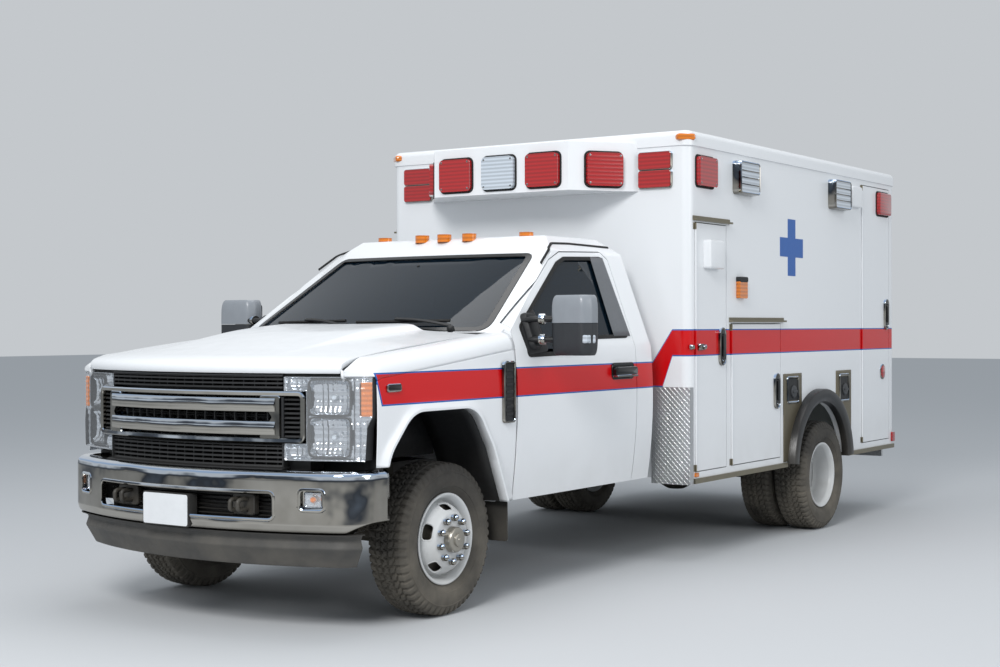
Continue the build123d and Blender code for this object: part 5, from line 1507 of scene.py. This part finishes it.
def mirror_frame():
    """Raised rings round the glasses."""
    profile = [(0, 0), (0, 0.004), (0.004, 0.005), (0.007, 0.003), (0.007, 0)]
    return [moulding(at(1.223, 0.8345, z), "rear", (half + 0.006, high + 0.005), 0.024, profile, ring=True)
        for z, (half, high) in GLASSES]


def mirror_arms():
    """Foot on the door and two oval arms out to the head."""
    turn = np.linspace(0, 2 * np.pi, 16, endpoint=False)
    oval = np.stack([0.026 * np.cos(turn), 0.017 * np.sin(turn)], 1)
    arms = [moulding(on_side(0.735, 1.455, 0.006)[0], ((0, 1, 0), (-0.33, 0, 0.944)), (0.055, 0.105), 0.03,
            [(0, -0.01), (0, 0.01), (0.01, 0.028), (0.022, 0.034)])]
    for z in ARM_Z:
        path = filleted([(0.93, 0.705, z - 0.012), (1.02, 0.7, z), (1.1, 0.735, z), (1.18, 0.78, z)], 0.05)
        arms.append(carried(path + (0, AXLE, 0), oval, (0, 0, 1)))
    return arms


def mirror_sleeves():
    """Bright sleeve on each arm."""
    profile = [(0, 0.0285), (0.004, 0.03), (0.03, 0.03), (0.034, 0.0285)]
    return [lathe(at(1.045, 0.71, z), (1, 0.35, 0), profile, 24) for z in ARM_Z]


def turn_lamp():
    """Lamp on the head's front that wraps round its outer side."""
    front = moulding(at(1.318, 0.707, 1.415), ((0.93, -0.06, 0), (0, 0, 1)), (0.04, 0.022), 0.01,
        [(0, -0.02), (0, 0.003), (0.003, 0.006), (0.008, 0.0065)])
    wrap = moulding(at(1.353, 0.748, 1.415), ((0.25, 0.97, 0), (0, 0, 1)), (0.03, 0.022), 0.01,
        [(0, -0.02), (0, 0.003), (0.003, 0.005)])
    return front, wrap


class AMB_OT_mirrors(bpy.types.Operator):
    """Tow mirrors with a painted cap, two arms and a turn lamp"""

    bl_idname = "ambulance.mirrors"
    bl_label = "Mirrors"

    def execute(self, context):
        for what, slot, finish, *forms in (("lower", "black_trim", "mirror_black",
                    mirror_head(1.326, 1.5, 0.0)),
                ("cap", "white_paint", "mirror_cap", mirror_head(1.503, 1.654, 0.004)),
                ("glass", "chrome", None, *mirror_glass()), ("frame", "black_trim", None, *mirror_frame()),
                ("arms", "black_trim", None, *mirror_arms()), ("sleeves", "chrome", None, *mirror_sleeves()),
                ("turn_lamp", "clear_lens", None, *turn_lamp())):
            both_sides(f"mirror_{what}", slot, *forms, body="cab_door", finish=finish, stands_for="mirror")
        return {"FINISHED"}


class AMB_OT_cab_handles(bpy.types.Operator):
    """Door handles of the cab: dish, grip and a bright edge"""

    bl_idname = "ambulance.cab_handles"
    bl_label = "Cab handles"

    def execute(self, context):
        spot = on_side(1.69, 1.2125)[0]
        dish = moulding(spot + (0, 0, 0.004), "left", (0.135, 0.05), 0.03,
            [(0, -0.006), (0, 0.004), (0.004, 0.006), (0.012, 0.004)])
        grip = moulding(spot + (0, 0, 0.002), "left", (0.128, 0.028), 0.02,
            [(0, 0.002), (0, 0.03), (0.004, 0.036), (0.01, 0.0385)])
        edge = moulding(spot - (0, 0, 0.0245), "left", (0.126, 0.006), 0.006,
            [(0, 0.002), (0, 0.0385), (0.002, 0.04)])
        both_sides("cab_handle_dish", "black_trim", dish, body="cab_door", finish="black_gloss")
        both_sides("cab_handle_grip", "black_trim", grip, body="cab_door", finish="black_gloss")
        both_sides("cab_handle_edge", "chrome", edge, body="cab_door")
        return {"FINISHED"}


# Doors of the box: body, side, handle's y and middle z
HANDLES = (("locker_door_left_front", 1, 2.703, 1.3515), ("locker_door_left_middle", 1, 3.558, 1.0335),
    ("locker_door_left_rear", 1, 5.685, 1.574), ("locker_door_right_front", -1, 2.703, 1.3515),
    ("entry_door_right", -1, 3.57, 1.4435), ("locker_door_right_rear", -1, 5.685, 1.354))
SIDE_NAMES = {1: "left", -1: "right"}


def on_box(y, z, out=0.0, side=1):
    """Place on the box's side wall."""
    return at(side * (BOX_SIDE + out), y, z)


class AMB_OT_box_handles(bpy.types.Operator):
    """Paddle handles of the box's side doors: bright rim with its lock, black pan and grip"""

    bl_idname = "ambulance.box_handles"
    bl_label = "Box handles"

    def execute(self, context):
        for body, side, y, z in HANDLES:
            face, spot = SIDE_NAMES[side], on_box(y, z, 0, side)
            rim = moulding(spot, face, (0.043, 0.124), 0.042,
                [(0, -0.002), (0, 0.013), (0.003, 0.0165), (0.007, 0.0165), (0.01, 0.0135), (0.012, 0.0135)])
            pan = moulding(spot, face, (0.0325, 0.1135), 0.0315,
                [(0, 0.0125), (0.0, 0.0142), (0.003, 0.0148)])
            grip = moulding(spot + (0, side * 0.002, 0.008), face, (0.0175, 0.075), 0.016,
                [(0, 0.013), (0, 0.021), (0.004, 0.0255)])
            lock = lathe(spot + (side * 0.013, 0, -0.093), (side, 0, 0),
                [(0, 0.0095), (0.006, 0.009), (0.0065, 0.004)], 18)
            piece(f"{body}_handle_rim", "chrome", rim, lock, body=body)
            piece(f"{body}_handle_pan", "black_trim", pan, grip, body=body, finish="black_gloss")
        return {"FINISHED"}


def blue_cross(side):
    """Plain cross of film, 0.4 m across, that stands 0.8 mm off the wall."""
    arm, wide = 0.2, 0.067
    outline = np.array([(-wide, -arm), (wide, -arm), (wide, -wide), (arm, -wide), (arm, wide), (wide, wide),
            (wide, arm), (-wide, arm), (-wide, wide), (-arm, wide), (-arm, -wide), (-wide, -wide)])
    return solid(np.stack([np.stack([np.full(12, side * (BOX_SIDE + out)), AXLE + 3.825 + outline[:, 0],
            2.035 + outline[:, 1]], 1) for out in (0.0, 0.0008)]))


class AMB_OT_box_fittings(bpy.types.Operator):
    """Hold-open latch, vent box and lamp cover of the left side, and the blue cross on both sides"""

    bl_idname = "ambulance.box_fittings"
    bl_label = "Box fittings"

    def execute(self, context):
        boss = [(0, -0.001), (0, 0.012), (0.004, 0.02)]
        latch = moulding(on_box(2.405, 1.352), "left", (0.04, 0.022), 0.01, boss)
        catch = moulding(on_box(2.275, 1.352), "left", (0.018, 0.016), 0.01, boss)
        pin = lathe(on_box(2.425, 1.352, 0.018), (1, 0, 0), [(0, 0.016), (0.012, 0.015), (0.016, 0.008)], 20)
        piece("hold_open_latch", "chrome", latch, pin, body="locker_door_left_front")
        piece("hold_open_catch", "chrome", catch)
        vent = moulding(on_box(2.555, 1.94), "left", (0.105, 0.092), 0.018,
            [(0, -0.001), (0, 0.042), (0.006, 0.05), (0.014, 0.052)])
        piece("vent_box", "white_paint", vent, body="locker_door_left_front")
        cover = moulding(on_box(4.995, 2.47), "left", (0.1, 0.08), 0.02,
            [(0, -0.001), (0, 0.03), (0.006, 0.036), (0.014, 0.037)])
        piece("side_cover", "white_paint", cover)
        for side in SIDES:
            piece(f"blue_cross_{SIDE_NAMES[side]}", "white_paint", blue_cross(side), smooth=False,
                finish="blue_film")
        return {"FINISHED"}


# Rear wheel arch's flare: height of its middle and radius
FLARE_Z, FLARE_RADIUS = 0.465, 0.509


class AMB_OT_flares(bpy.types.Operator):
    """Rubber flares round the rear wheel arches, and the mud flaps"""

    bl_idname = "ambulance.flares"
    bl_label = "Flares and flaps"

    def execute(self, context):
        angle = np.linspace(math.radians(5), math.radians(175), 90)
        arc = np.stack([np.full_like(angle, BOX_SIDE + 0.0005),
                AXLE + WHEELBASE + FLARE_RADIUS * np.cos(angle), FLARE_Z + FLARE_RADIUS * np.sin(angle)], 1)
        section = [(0.049, 0.0), (0.049, 0.03), (0.044, 0.048), (0.03, 0.058), (0.01, 0.062), (-0.03, 0.062),
            (-0.044, 0.058), (-0.049, 0.048), (-0.049, -0.04), (-0.044, -0.04), (-0.04, 0.0)]
        flap = [(0, -0.004), (0, 0.004)]
        flaps = (moulding(at(0.8925, 0.482, 0.4375), "front", (0.0925, 0.1075), 0.012, flap),
            moulding(at(0.897, 4.824, 0.3925), "front", (0.229, 0.1425), 0.012, flap))
        both_sides("arch_flare", "rubber", carried(arc, section, (1, 0, 0)), finish="flare_rubber",
            stands_for="rubber_flares")
        both_sides("mud_flaps", "rubber", *flaps, stands_for="rubber_flares")
        return {"FINISHED"}


# Plates beside the left rear wheel: straight edge's y, way to the wheel, y where the arch ends it, and the
# pocket's
# middle y and z, half width and half height
FILLER_SHEETS = ((3.676, 1, 3.99, (3.8325, 1.03, 0.0925, 0.085)),
    (4.932, -1, 4.637, (4.79, 1.015, 0.085, 0.095)))
SHEET_Z = (0.53, 1.146)
SHEET_ARCH = 0.553


def filler_sheet(edge_y, way, end_y, pocket):
    """Plate between its straight edge and an arc round the wheel, with an opening for the pocket."""
    z = np.linspace(*SHEET_Z, 40)
    reach = np.sqrt(np.maximum(SHEET_ARCH ** 2 - (z - FLARE_Z) ** 2, 0))
    near = way * np.minimum(way * (WHEELBASE - way * reach), way * end_y)
    y = edge_y + (near[:, None] - edge_y) * np.linspace(0, 1, 20)
    z = np.broadcast_to(z[:, None], y.shape)
    hole = in_box(centres(y), centres(z), pocket[2] - 0.006, pocket[3] - 0.006, 0.01, pocket[0], pocket[1])
    sheet = np.stack(np.broadcast_arrays(BOX_SIDE + 0.0052, AXLE + y, z), -1)
    return grid(sheet, keep=~hole, way=(1, 0, 0))


def filler_frame(y, z, half, high):
    """Raised bright frame round a pocket."""
    profile = [(0, 0), (0, 0.008), (0.004, 0.012), (0.012, 0.0125), (0.017, 0.009), (0.017, 0.001)]
    return moulding(on_box(y, z), "left", (half + 0.012, high + 0.012), 0.02, profile, ring=True)


def filler_pan(y, z, half, high):
    """Floor of a pocket."""
    return moulding(on_box(y, z), "left", (half - 0.002, high - 0.002), 0.012,
        [(0, 0.0045), (0.012, 0.0052), (0.016, 0.0058)])


def filler_cap(y, z):
    """Round cap in a pocket, with a grip across it."""
    cap = lathe(on_box(y + 0.008, z - 0.012, 0.005), (1, 0, 0),
        [(0, 0.044), (0.006, 0.045), (0.012, 0.041), (0.014, 0.03), (0.016, 0.012)], 28)
    grip = moulding(on_box(y + 0.008, z - 0.012, 0.02), "left", (0.034, 0.008), 0.006,
        [(0, -0.004), (0, 0.005), (0.003, 0.007)])
    return cap, grip


class AMB_OT_fillers(bpy.types.Operator):
    """Bronze plates beside the left rear wheel, with the filler pockets, and the lock on the rear locker"""

    bl_idname = "ambulance.fillers"
    bl_label = "Filler plates and lock"

    def execute(self, context):
        pockets = [sheet[3] for sheet in FILLER_SHEETS]
        made = piece("filler_plates", "aluminium", *[filler_sheet(*sheet) for sheet in FILLER_SHEETS],
            finish="bronze_sheet")
        walled(made, 0.004)
        piece("filler_frames", "chrome", *[filler_frame(*pocket) for pocket in pockets])
        piece("filler_pans", "black_trim", *[filler_pan(*pocket) for pocket in pockets])
        caps = [form for y, z, _, _ in pockets for form in filler_cap(y, z)]
        piece("filler_caps", "black_trim", *caps, finish="grey_plastic")
        plate = moulding(on_box(5.61, 1.115), "left", (0.05, 0.062), 0.05,
            [(0, -0.001), (0, 0.004), (0.004, 0.007)])
        piece("lock_plate", "chrome", plate, body="locker_door_left_rear")
        red = moulding(on_box(5.61, 1.115, 0.006), "left", (0.038, 0.05), 0.038,
            [(0, 0), (0, 0.003), (0.004, 0.005)])
        piece("lock_face", "red_lens", red, body="locker_door_left_rear")
        return {"FINISHED"}


# Windows of the box's doors: body, side faced, middle of the pane, middle of its seal, half size
DOOR_WINDOWS = (("entry_door_right", "right", (-1.146, 3.25, 1.92), (-BOX_SIDE, 3.25, 1.92), (0.241, 0.281)),
    ("rear_door_left", "rear", (0.325, 5.858, 1.92), (0.325, REAR_FACE, 1.92), (0.176, 0.281)),
    ("rear_door_right", "rear", (-0.325, 5.858, 1.92), (-0.325, REAR_FACE, 1.92), (0.176, 0.281)))


class AMB_OT_door_windows(bpy.types.Operator):
    """Panes and seals of the box's doors, and the rear doors' handles"""

    bl_idname = "ambulance.door_windows"
    bl_label = "Box windows and rear handles"

    def execute(self, context):
        seal = [(0, -0.001), (0, 0.004), (0.004, 0.007), (0.016, 0.007), (0.02, 0.004), (0.024, -0.02)]
        for body, face, middle, outer, (half, high) in DOOR_WINDOWS:
            pane = moulding(at(*middle), face, (half, high), 0.012, [(0, -0.003), (0, 0.003)])
            piece(f"{body}_pane", "glass", pane, body=body)
            edge = moulding(at(*outer), face, (half + 0.02, high + 0.02), 0.04, seal, ring=True)
            piece(f"{body}_pane_frame", "rubber", edge, body=body)
        for side in SIDES:
            body = f"rear_door_{SIDE_NAMES[side]}"
            rim = moulding(at(side * 0.066, REAR_FACE, 1.36), "rear", (0.032, 0.092), 0.03,
                [(0, -0.001), (0, 0.01), (0.003, 0.014)])
            grip = moulding(at(side * 0.066, REAR_FACE, 1.365), "rear", (0.017, 0.07), 0.015,
                [(0, 0.01), (0, 0.026), (0.004, 0.03)])
            piece(f"{body}_handle", "black_trim", rim, grip, body=body, finish="black_gloss")
        return {"FINISHED"}


# Box lamps of the left side and the middle: place, face, half size, corner, how far the lens stands out.
# Those at the left are mirrored to the right.
NOSE_SLANT = ((0.29 / 0.4804, 0.383 / 0.4804, 0), (0, 0, 1))
BOX_LAMPS = (((0.0, 1.87, 2.473), "front", (0.122, 0.105), 0.03, 0.032),
    ((0.338, 1.87, 2.473), "front", (0.122, 0.105), 0.03, 0.032),
    ((0.665, 2.0615, 2.473), NOSE_SLANT, (0.122, 0.105), 0.03, 0.032),
    ((BOX_SIDE, 2.4675, 2.4605), "left", (0.1225, 0.0925), 0.022, 0.034),
    ((0.95, REAR_FACE, 2.43), "rear", (0.12, 0.1), 0.022, 0.034),
    ((0.95, REAR_FACE, 1.01), "rear", (0.09, 0.08), 0.022, 0.03),
    ((0.95, REAR_FACE, 0.82), "rear", (0.09, 0.08), 0.022, 0.03),
    ((0.95, REAR_FACE, 1.2), "rear", (0.09, 0.08), 0.022, 0.03))
REAR_SIDE_LAMP = (5.61, 2.452)


def gasket(centre, face, half, corner):
    """Black ring that shows round a lamp's foot."""
    profile = [(0, 0), (0, 0.004), (0.003, 0.006), (0.011, 0.006), (0.011, 0)]
    return moulding(centre, face, (half[0] + 0.012, half[1] + 0.012), corner + 0.01, profile, ring=True)


def lens_screws(centre, face, half, proud):
    """Four screws in the corners of a lens."""
    right, up = (np.array(v, float) for v in (FACES[face] if isinstance(face, str) else face))
    out = np.cross(right, up)
    out = out / np.linalg.norm(out)
    across = right / np.linalg.norm(right) * (half[0] - 0.018)
    spots = [centre + across * sx + up * (half[1] - 0.018) * sz + out * (proud - 0.001) for sx in SIDES
        for sz in SIDES]
    return [lathe(spot, out, [(0, 0.0075), (0.002, 0.007), (0.003, 0.004)], 12) for spot in spots]


def corner_bezels():
    """Bright rings of the two lamps at each front corner of the box."""
    profile = [(0, 0), (0, 0.018), (0.002, 0.021), (0.005, 0.021), (0.006, 0.0)]
    return mirrored([moulding(at(0.935, 2.2525, z), "front", (0.1185, 0.0575), 0.018, profile, ring=True)
            for z in (2.411, 2.527)])


def flood_housings():
    """Bright housings of the side floods, each with three level bars before its glass."""
    wall = [(0, 0), (0, 0.02), (0.004, 0.05), (0.006, 0.06), (0.012, 0.063), (0.017, 0.06), (0.018, 0.02)]
    rod = [(0, 0), (0, 0.003), (0.001, 0.004)]
    housings = []
    for y, half in ((3.0275, 0.1425), (4.6525, 0.1475)):
        housings.append(moulding(on_box(y, 2.462), "left", (half + 0.012, 0.112), 0.03, wall, ring=True))
        housings += [moulding(on_box(y, 2.462 + up, 0.057), "left", (half - 0.01, 0.004), 0.003, rod)
            for up in (-0.045, 0.0, 0.045)]
    return mirrored(housings)


def roof_markers():
    """Amber markers: one on each front corner of the roof, three in the middle of its rear edge."""
    corner = [(0, -0.02), (0, 0.012), (0.005, 0.02), (0.012, 0.022)]
    caps = [moulding(at(side * 1.13792, 2.268, 2.667), ((0.72, 0.69 * side, 0), (0, 0, 1)), (0.062, 0.021),
            0.019, corner) for side in SIDES]
    rear = [(0, -0.001), (0, 0.012), (0.004, 0.016)]
    return caps + [moulding(at(x, REAR_FACE, 2.665), "rear", (0.045, 0.016), 0.014, rear)
        for x in (-0.13, 0.0, 0.13)]


class AMB_OT_lamps(bpy.types.Operator):
    """Gaskets, screws, bezels and housings of the box's lamps, one more red lamp and the amber markers"""

    bl_idname = "ambulance.lamps"
    bl_label = "Lamp fittings"

    def execute(self, context):
        gaskets, screws = [], []
        for place, face, half, corner, proud in BOX_LAMPS:
            ring, four = [gasket(at(*place), face, half, corner)], lens_screws(at(*place), face, half, proud)
            gaskets += mirrored(ring) if place[0] > 0 else ring
            screws += mirrored(four) if place[0] > 0 else four
        piece("lamp_gaskets", "rubber", *gaskets)
        piece("lamp_screws", "chrome", *screws)
        piece("lamp_bezels", "chrome", *corner_bezels())
        piece("flood_housings", "chrome", *flood_housings())
        spot, half = on_box(*REAR_SIDE_LAMP), (0.13, 0.088)
        red = moulding(spot, "left", half, 0.024, [(0, 0), (0, 0.026), (0.004, 0.032), (0.012, 0.034)])
        piece("side_lamp_rear", "red_lens", red, body="locker_door_left_rear")
        piece("side_lamp_rear_gasket", "rubber", gasket(spot, "left", half, 0.024),
            body="locker_door_left_rear")
        piece("corner_markers", "amber_lens", *roof_markers())
        hood = moulding(on_box(2.9825, 1.79), "left", (0.06, 0.018), 0.012,
            [(0, 0), (0, 0.03), (0.003, 0.034)])
        piece("amber_lamp_top", "black_trim", hood)
        return {"FINISHED"}


def cushion(centre, size, tilt=0.0, seams=3, puff=0.018):
    """Padded block: a rounded box whose faces swell, with seams pressed in across it.

    Each side is a power curve of both parameters; seams are narrow dips of a bell curve; the whole is turned
    back by the tilt.
    """
    u, v = np.meshgrid(np.linspace(-np.pi, np.pi, 73)[:-1], np.linspace(-np.pi / 2, np.pi / 2, 49),
        indexing="ij")

    def power(value):
        return np.sign(value) * np.abs(value) ** 0.32

    x = power(np.cos(v)) * power(np.cos(u)) * size[0]
    y = power(np.cos(v)) * power(np.sin(u)) * size[1]
    z = power(np.sin(v)) * size[2]
    z = z + np.sign(z) * puff * (1 - (x / size[0]) ** 2) * (1 - (y / size[1]) ** 2)
    dip = sum(np.exp(-((x - size[0] * s) / 0.006) ** 2) for s in np.linspace(-0.55, 0.55, seams))
    z = z - np.sign(z) * 0.007 * dip * (np.abs(z) > 0.6 * size[2])
    c, s = math.cos(tilt), math.sin(tilt)
    points = np.stack([x + centre[0], y * c - z * s + centre[1], y * s + z * c + centre[2]], -1)
    return grid(points, close_rows=True)


class AMB_OT_seats(bpy.types.Operator):
    """Bench cushions, and bucket seats of seat, back and head rest on their plinths"""

    bl_idname = "ambulance.seats"
    bl_label = "Seats"

    def execute(self, context):
        pads = [cushion(at(-0.887, y, 1.13), (0.222, 0.315, 0.042), seams=2, puff=0.012)
            for y in (4.18, 4.81)]
        bench = piece("bench_cushion", "seat_vinyl", *pads)
        for side in SIDES:
            x = side * 0.44
            pads = [cushion(at(x, 1.485, 1.065), (0.25, 0.25, 0.05)),
                cushion(at(x, 1.845, 1.33), (0.24, 0.235, 0.055), math.radians(68)),
                cushion(at(x, 1.94, 1.66), (0.125, 0.078, 0.034), math.radians(78), 1, 0.01)]
            made = piece(f"seat_{SIDE_NAMES[side]}", "seat_vinyl", *pads, finish="seat_cloth")
            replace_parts(made, "cab_seats")
            posts = [tube([at(x + dx, 1.9, 1.56), at(x + dx, 1.915, 1.6), at(x + dx, 1.92, 1.64)], 0.007)
                for dx in (-0.06, 0.06)]
            plinth = moulding(at(x, 1.485, 0.79), "up", (0.205, 0.21), 0.03,
                [(0, 0), (0, 0.2), (0.01, 0.222)])
            made = piece(f"seat_base_{SIDE_NAMES[side]}", "black_trim", plinth, *posts)
            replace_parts(made, "cab_seats")
        return {"FINISHED"}


# Lamps of the studio: place, what it looks at, width in metres and watts
STUDIO = {"key": ((3.5, -10.5, 7.5), (0, -0.5, 1.0), 4.0, 800),
    "fill": ((11.0, 0.0, 5.0), (0, 0.5, 1.2), 6.0, 210),
    "top": ((0, 0, 9.0), (0, 0, 0), 7.0, 220)}


def studio_floor():
    """Plain pale floor, 120 m across."""
    made, tree, _ = start("pale studio floor")
    shader = node(tree, "ShaderNodeBsdfDiffuse", {"Color": linear("#C2C4C6")})
    node(tree, "ShaderNodeOutputMaterial", {"Surface": shader})
    mesh = bpy.data.meshes.new("floor")
    mesh.from_pydata([(x, y, 0) for x, y in box_outline(60.0, 60.0)], [], [(0, 1, 2, 3)])
    mesh.materials.append(made)
    floor = bpy.data.objects.new("floor", mesh)
    bpy.context.scene.collection.objects.link(floor)


def studio_world():
    """Soft light all round; the eye, and what glass and metal show, get a plain pale background."""
    world = bpy.data.worlds.new("studio")
    world.use_nodes = True
    world.node_tree.nodes.clear()
    tree = world.node_tree
    path = node(tree, "ShaderNodeLightPath")
    seen = node(tree, "ShaderNodeMath", {0: path.outputs["Is Camera Ray"],
            1: path.outputs["Is Transmission Ray"]}, operation="MAXIMUM")
    seen = node(tree, "ShaderNodeMath", {0: seen, 1: path.outputs["Is Glossy Ray"]}, operation="MAXIMUM")
    soft = node(tree, "ShaderNodeBackground", {"Color": linear("#DCE3EA"), "Strength": 0.78})
    pale = node(tree, "ShaderNodeBackground", {"Color": linear("#C4C8CC"), "Strength": 1.0})
    mixed = node(tree, "ShaderNodeMixShader", {0: seen, 1: soft, 2: pale})
    node(tree, "ShaderNodeOutputWorld", {"Surface": mixed})
    bpy.context.scene.world = world


def studio_lamp(name, place, aim, size, watts):
    """Round area lamp that looks from a place at a point."""
    lamp = bpy.data.lights.new(name, "AREA")
    lamp.shape = "DISK"
    lamp.size = size
    lamp.energy = watts
    holder = bpy.data.objects.new(name, lamp)
    away = np.array(place) - np.array(aim)
    holder.location = place
    holder.rotation_euler = (math.acos(away[2] / np.linalg.norm(away)), 0, math.atan2(away[0], -away[1]))
    bpy.context.scene.collection.objects.link(holder)


def photo_camera():
    """Camera at the photograph's place, turned by yaw, then pitch, then roll about its own axis."""
    yaw, pitch, roll = CAMERA_TURN
    ahead = np.array([-math.sin(yaw) * math.cos(pitch), math.cos(yaw) * math.cos(pitch), math.sin(pitch)])
    right = np.array([math.cos(yaw), math.sin(yaw), 0.0])
    up = np.cross(right, ahead)
    data = bpy.data.cameras.new("photo camera")
    data.sensor_width = SENSOR
    data.sensor_fit = "HORIZONTAL"
    data.lens = CAMERA_PIXELS / PHOTO[0] * SENSOR
    camera = bpy.data.objects.new("photo camera", data)
    matrix = np.eye(4)
    matrix[:3, 0] = right * math.cos(roll) + up * math.sin(roll)
    matrix[:3, 1] = up * math.cos(roll) - right * math.sin(roll)
    matrix[:3, 2] = -ahead
    matrix[:3, 3] = CAMERA_AT
    camera.matrix_world = Matrix(matrix.tolist())
    bpy.context.scene.collection.objects.link(camera)
    bpy.context.scene.camera = camera


class AMB_OT_stage(bpy.types.Operator):
    """Pale floor, soft studio light and the camera at the photograph's angle"""

    bl_idname = "ambulance.stage"
    bl_label = "Stage, light and camera"

    def execute(self, context):
        studio_floor()
        studio_world()
        context.scene.view_settings.view_transform = "Standard"
        for name, settings in STUDIO.items():
            studio_lamp(name, *settings)
        photo_camera()
        return {"FINISHED"}


OPERATORS = (AMB_OT_nodes, AMB_OT_hood, AMB_OT_fenders, AMB_OT_bumper, AMB_OT_grille, AMB_OT_headlamps,
    AMB_OT_plate,
    AMB_OT_fog_lamps, AMB_OT_vents, AMB_OT_tyres, AMB_OT_wheels, AMB_OT_glazing, AMB_OT_screen,
    AMB_OT_mirrors, AMB_OT_cab_handles, AMB_OT_box_handles, AMB_OT_box_fittings, AMB_OT_flares,
    AMB_OT_fillers, AMB_OT_door_windows, AMB_OT_lamps, AMB_OT_seats, AMB_OT_stage)


class AMB_PT_panel(bpy.types.Panel):
    """The ambulance's pieces in the sidebar"""

    bl_idname = "AMB_PT_panel"
    bl_label = "Ambulance"
    bl_space_type = "VIEW_3D"
    bl_region_type = "UI"
    bl_category = "Ambulance"

    def draw(self, context):
        for group in (context.scene.ambulance_sizes, context.scene.ambulance_colours):
            for key in group.__annotations__:
                self.layout.prop(group, key)
        for kind in OPERATORS:
            self.layout.operator(kind.bl_idname)


CLASSES = (AmbulanceColours, AmbulanceSizes) + OPERATORS + (AMB_PT_panel,)


def register():
    for kind in CLASSES:
        bpy.utils.register_class(kind)
    bpy.types.Scene.ambulance_colours = PointerProperty(type=AmbulanceColours)
    bpy.types.Scene.ambulance_sizes = PointerProperty(type=AmbulanceSizes)


def unregister():
    del bpy.types.Scene.ambulance_sizes
    del bpy.types.Scene.ambulance_colours
    for kind in reversed(CLASSES):
        bpy.utils.unregister_class(kind)


def main():
    register()
    for kind in OPERATORS:
        group, name = kind.bl_idname.split(".")
        getattr(getattr(bpy.ops, group), name)()


if __name__ == "__main__":
    main()
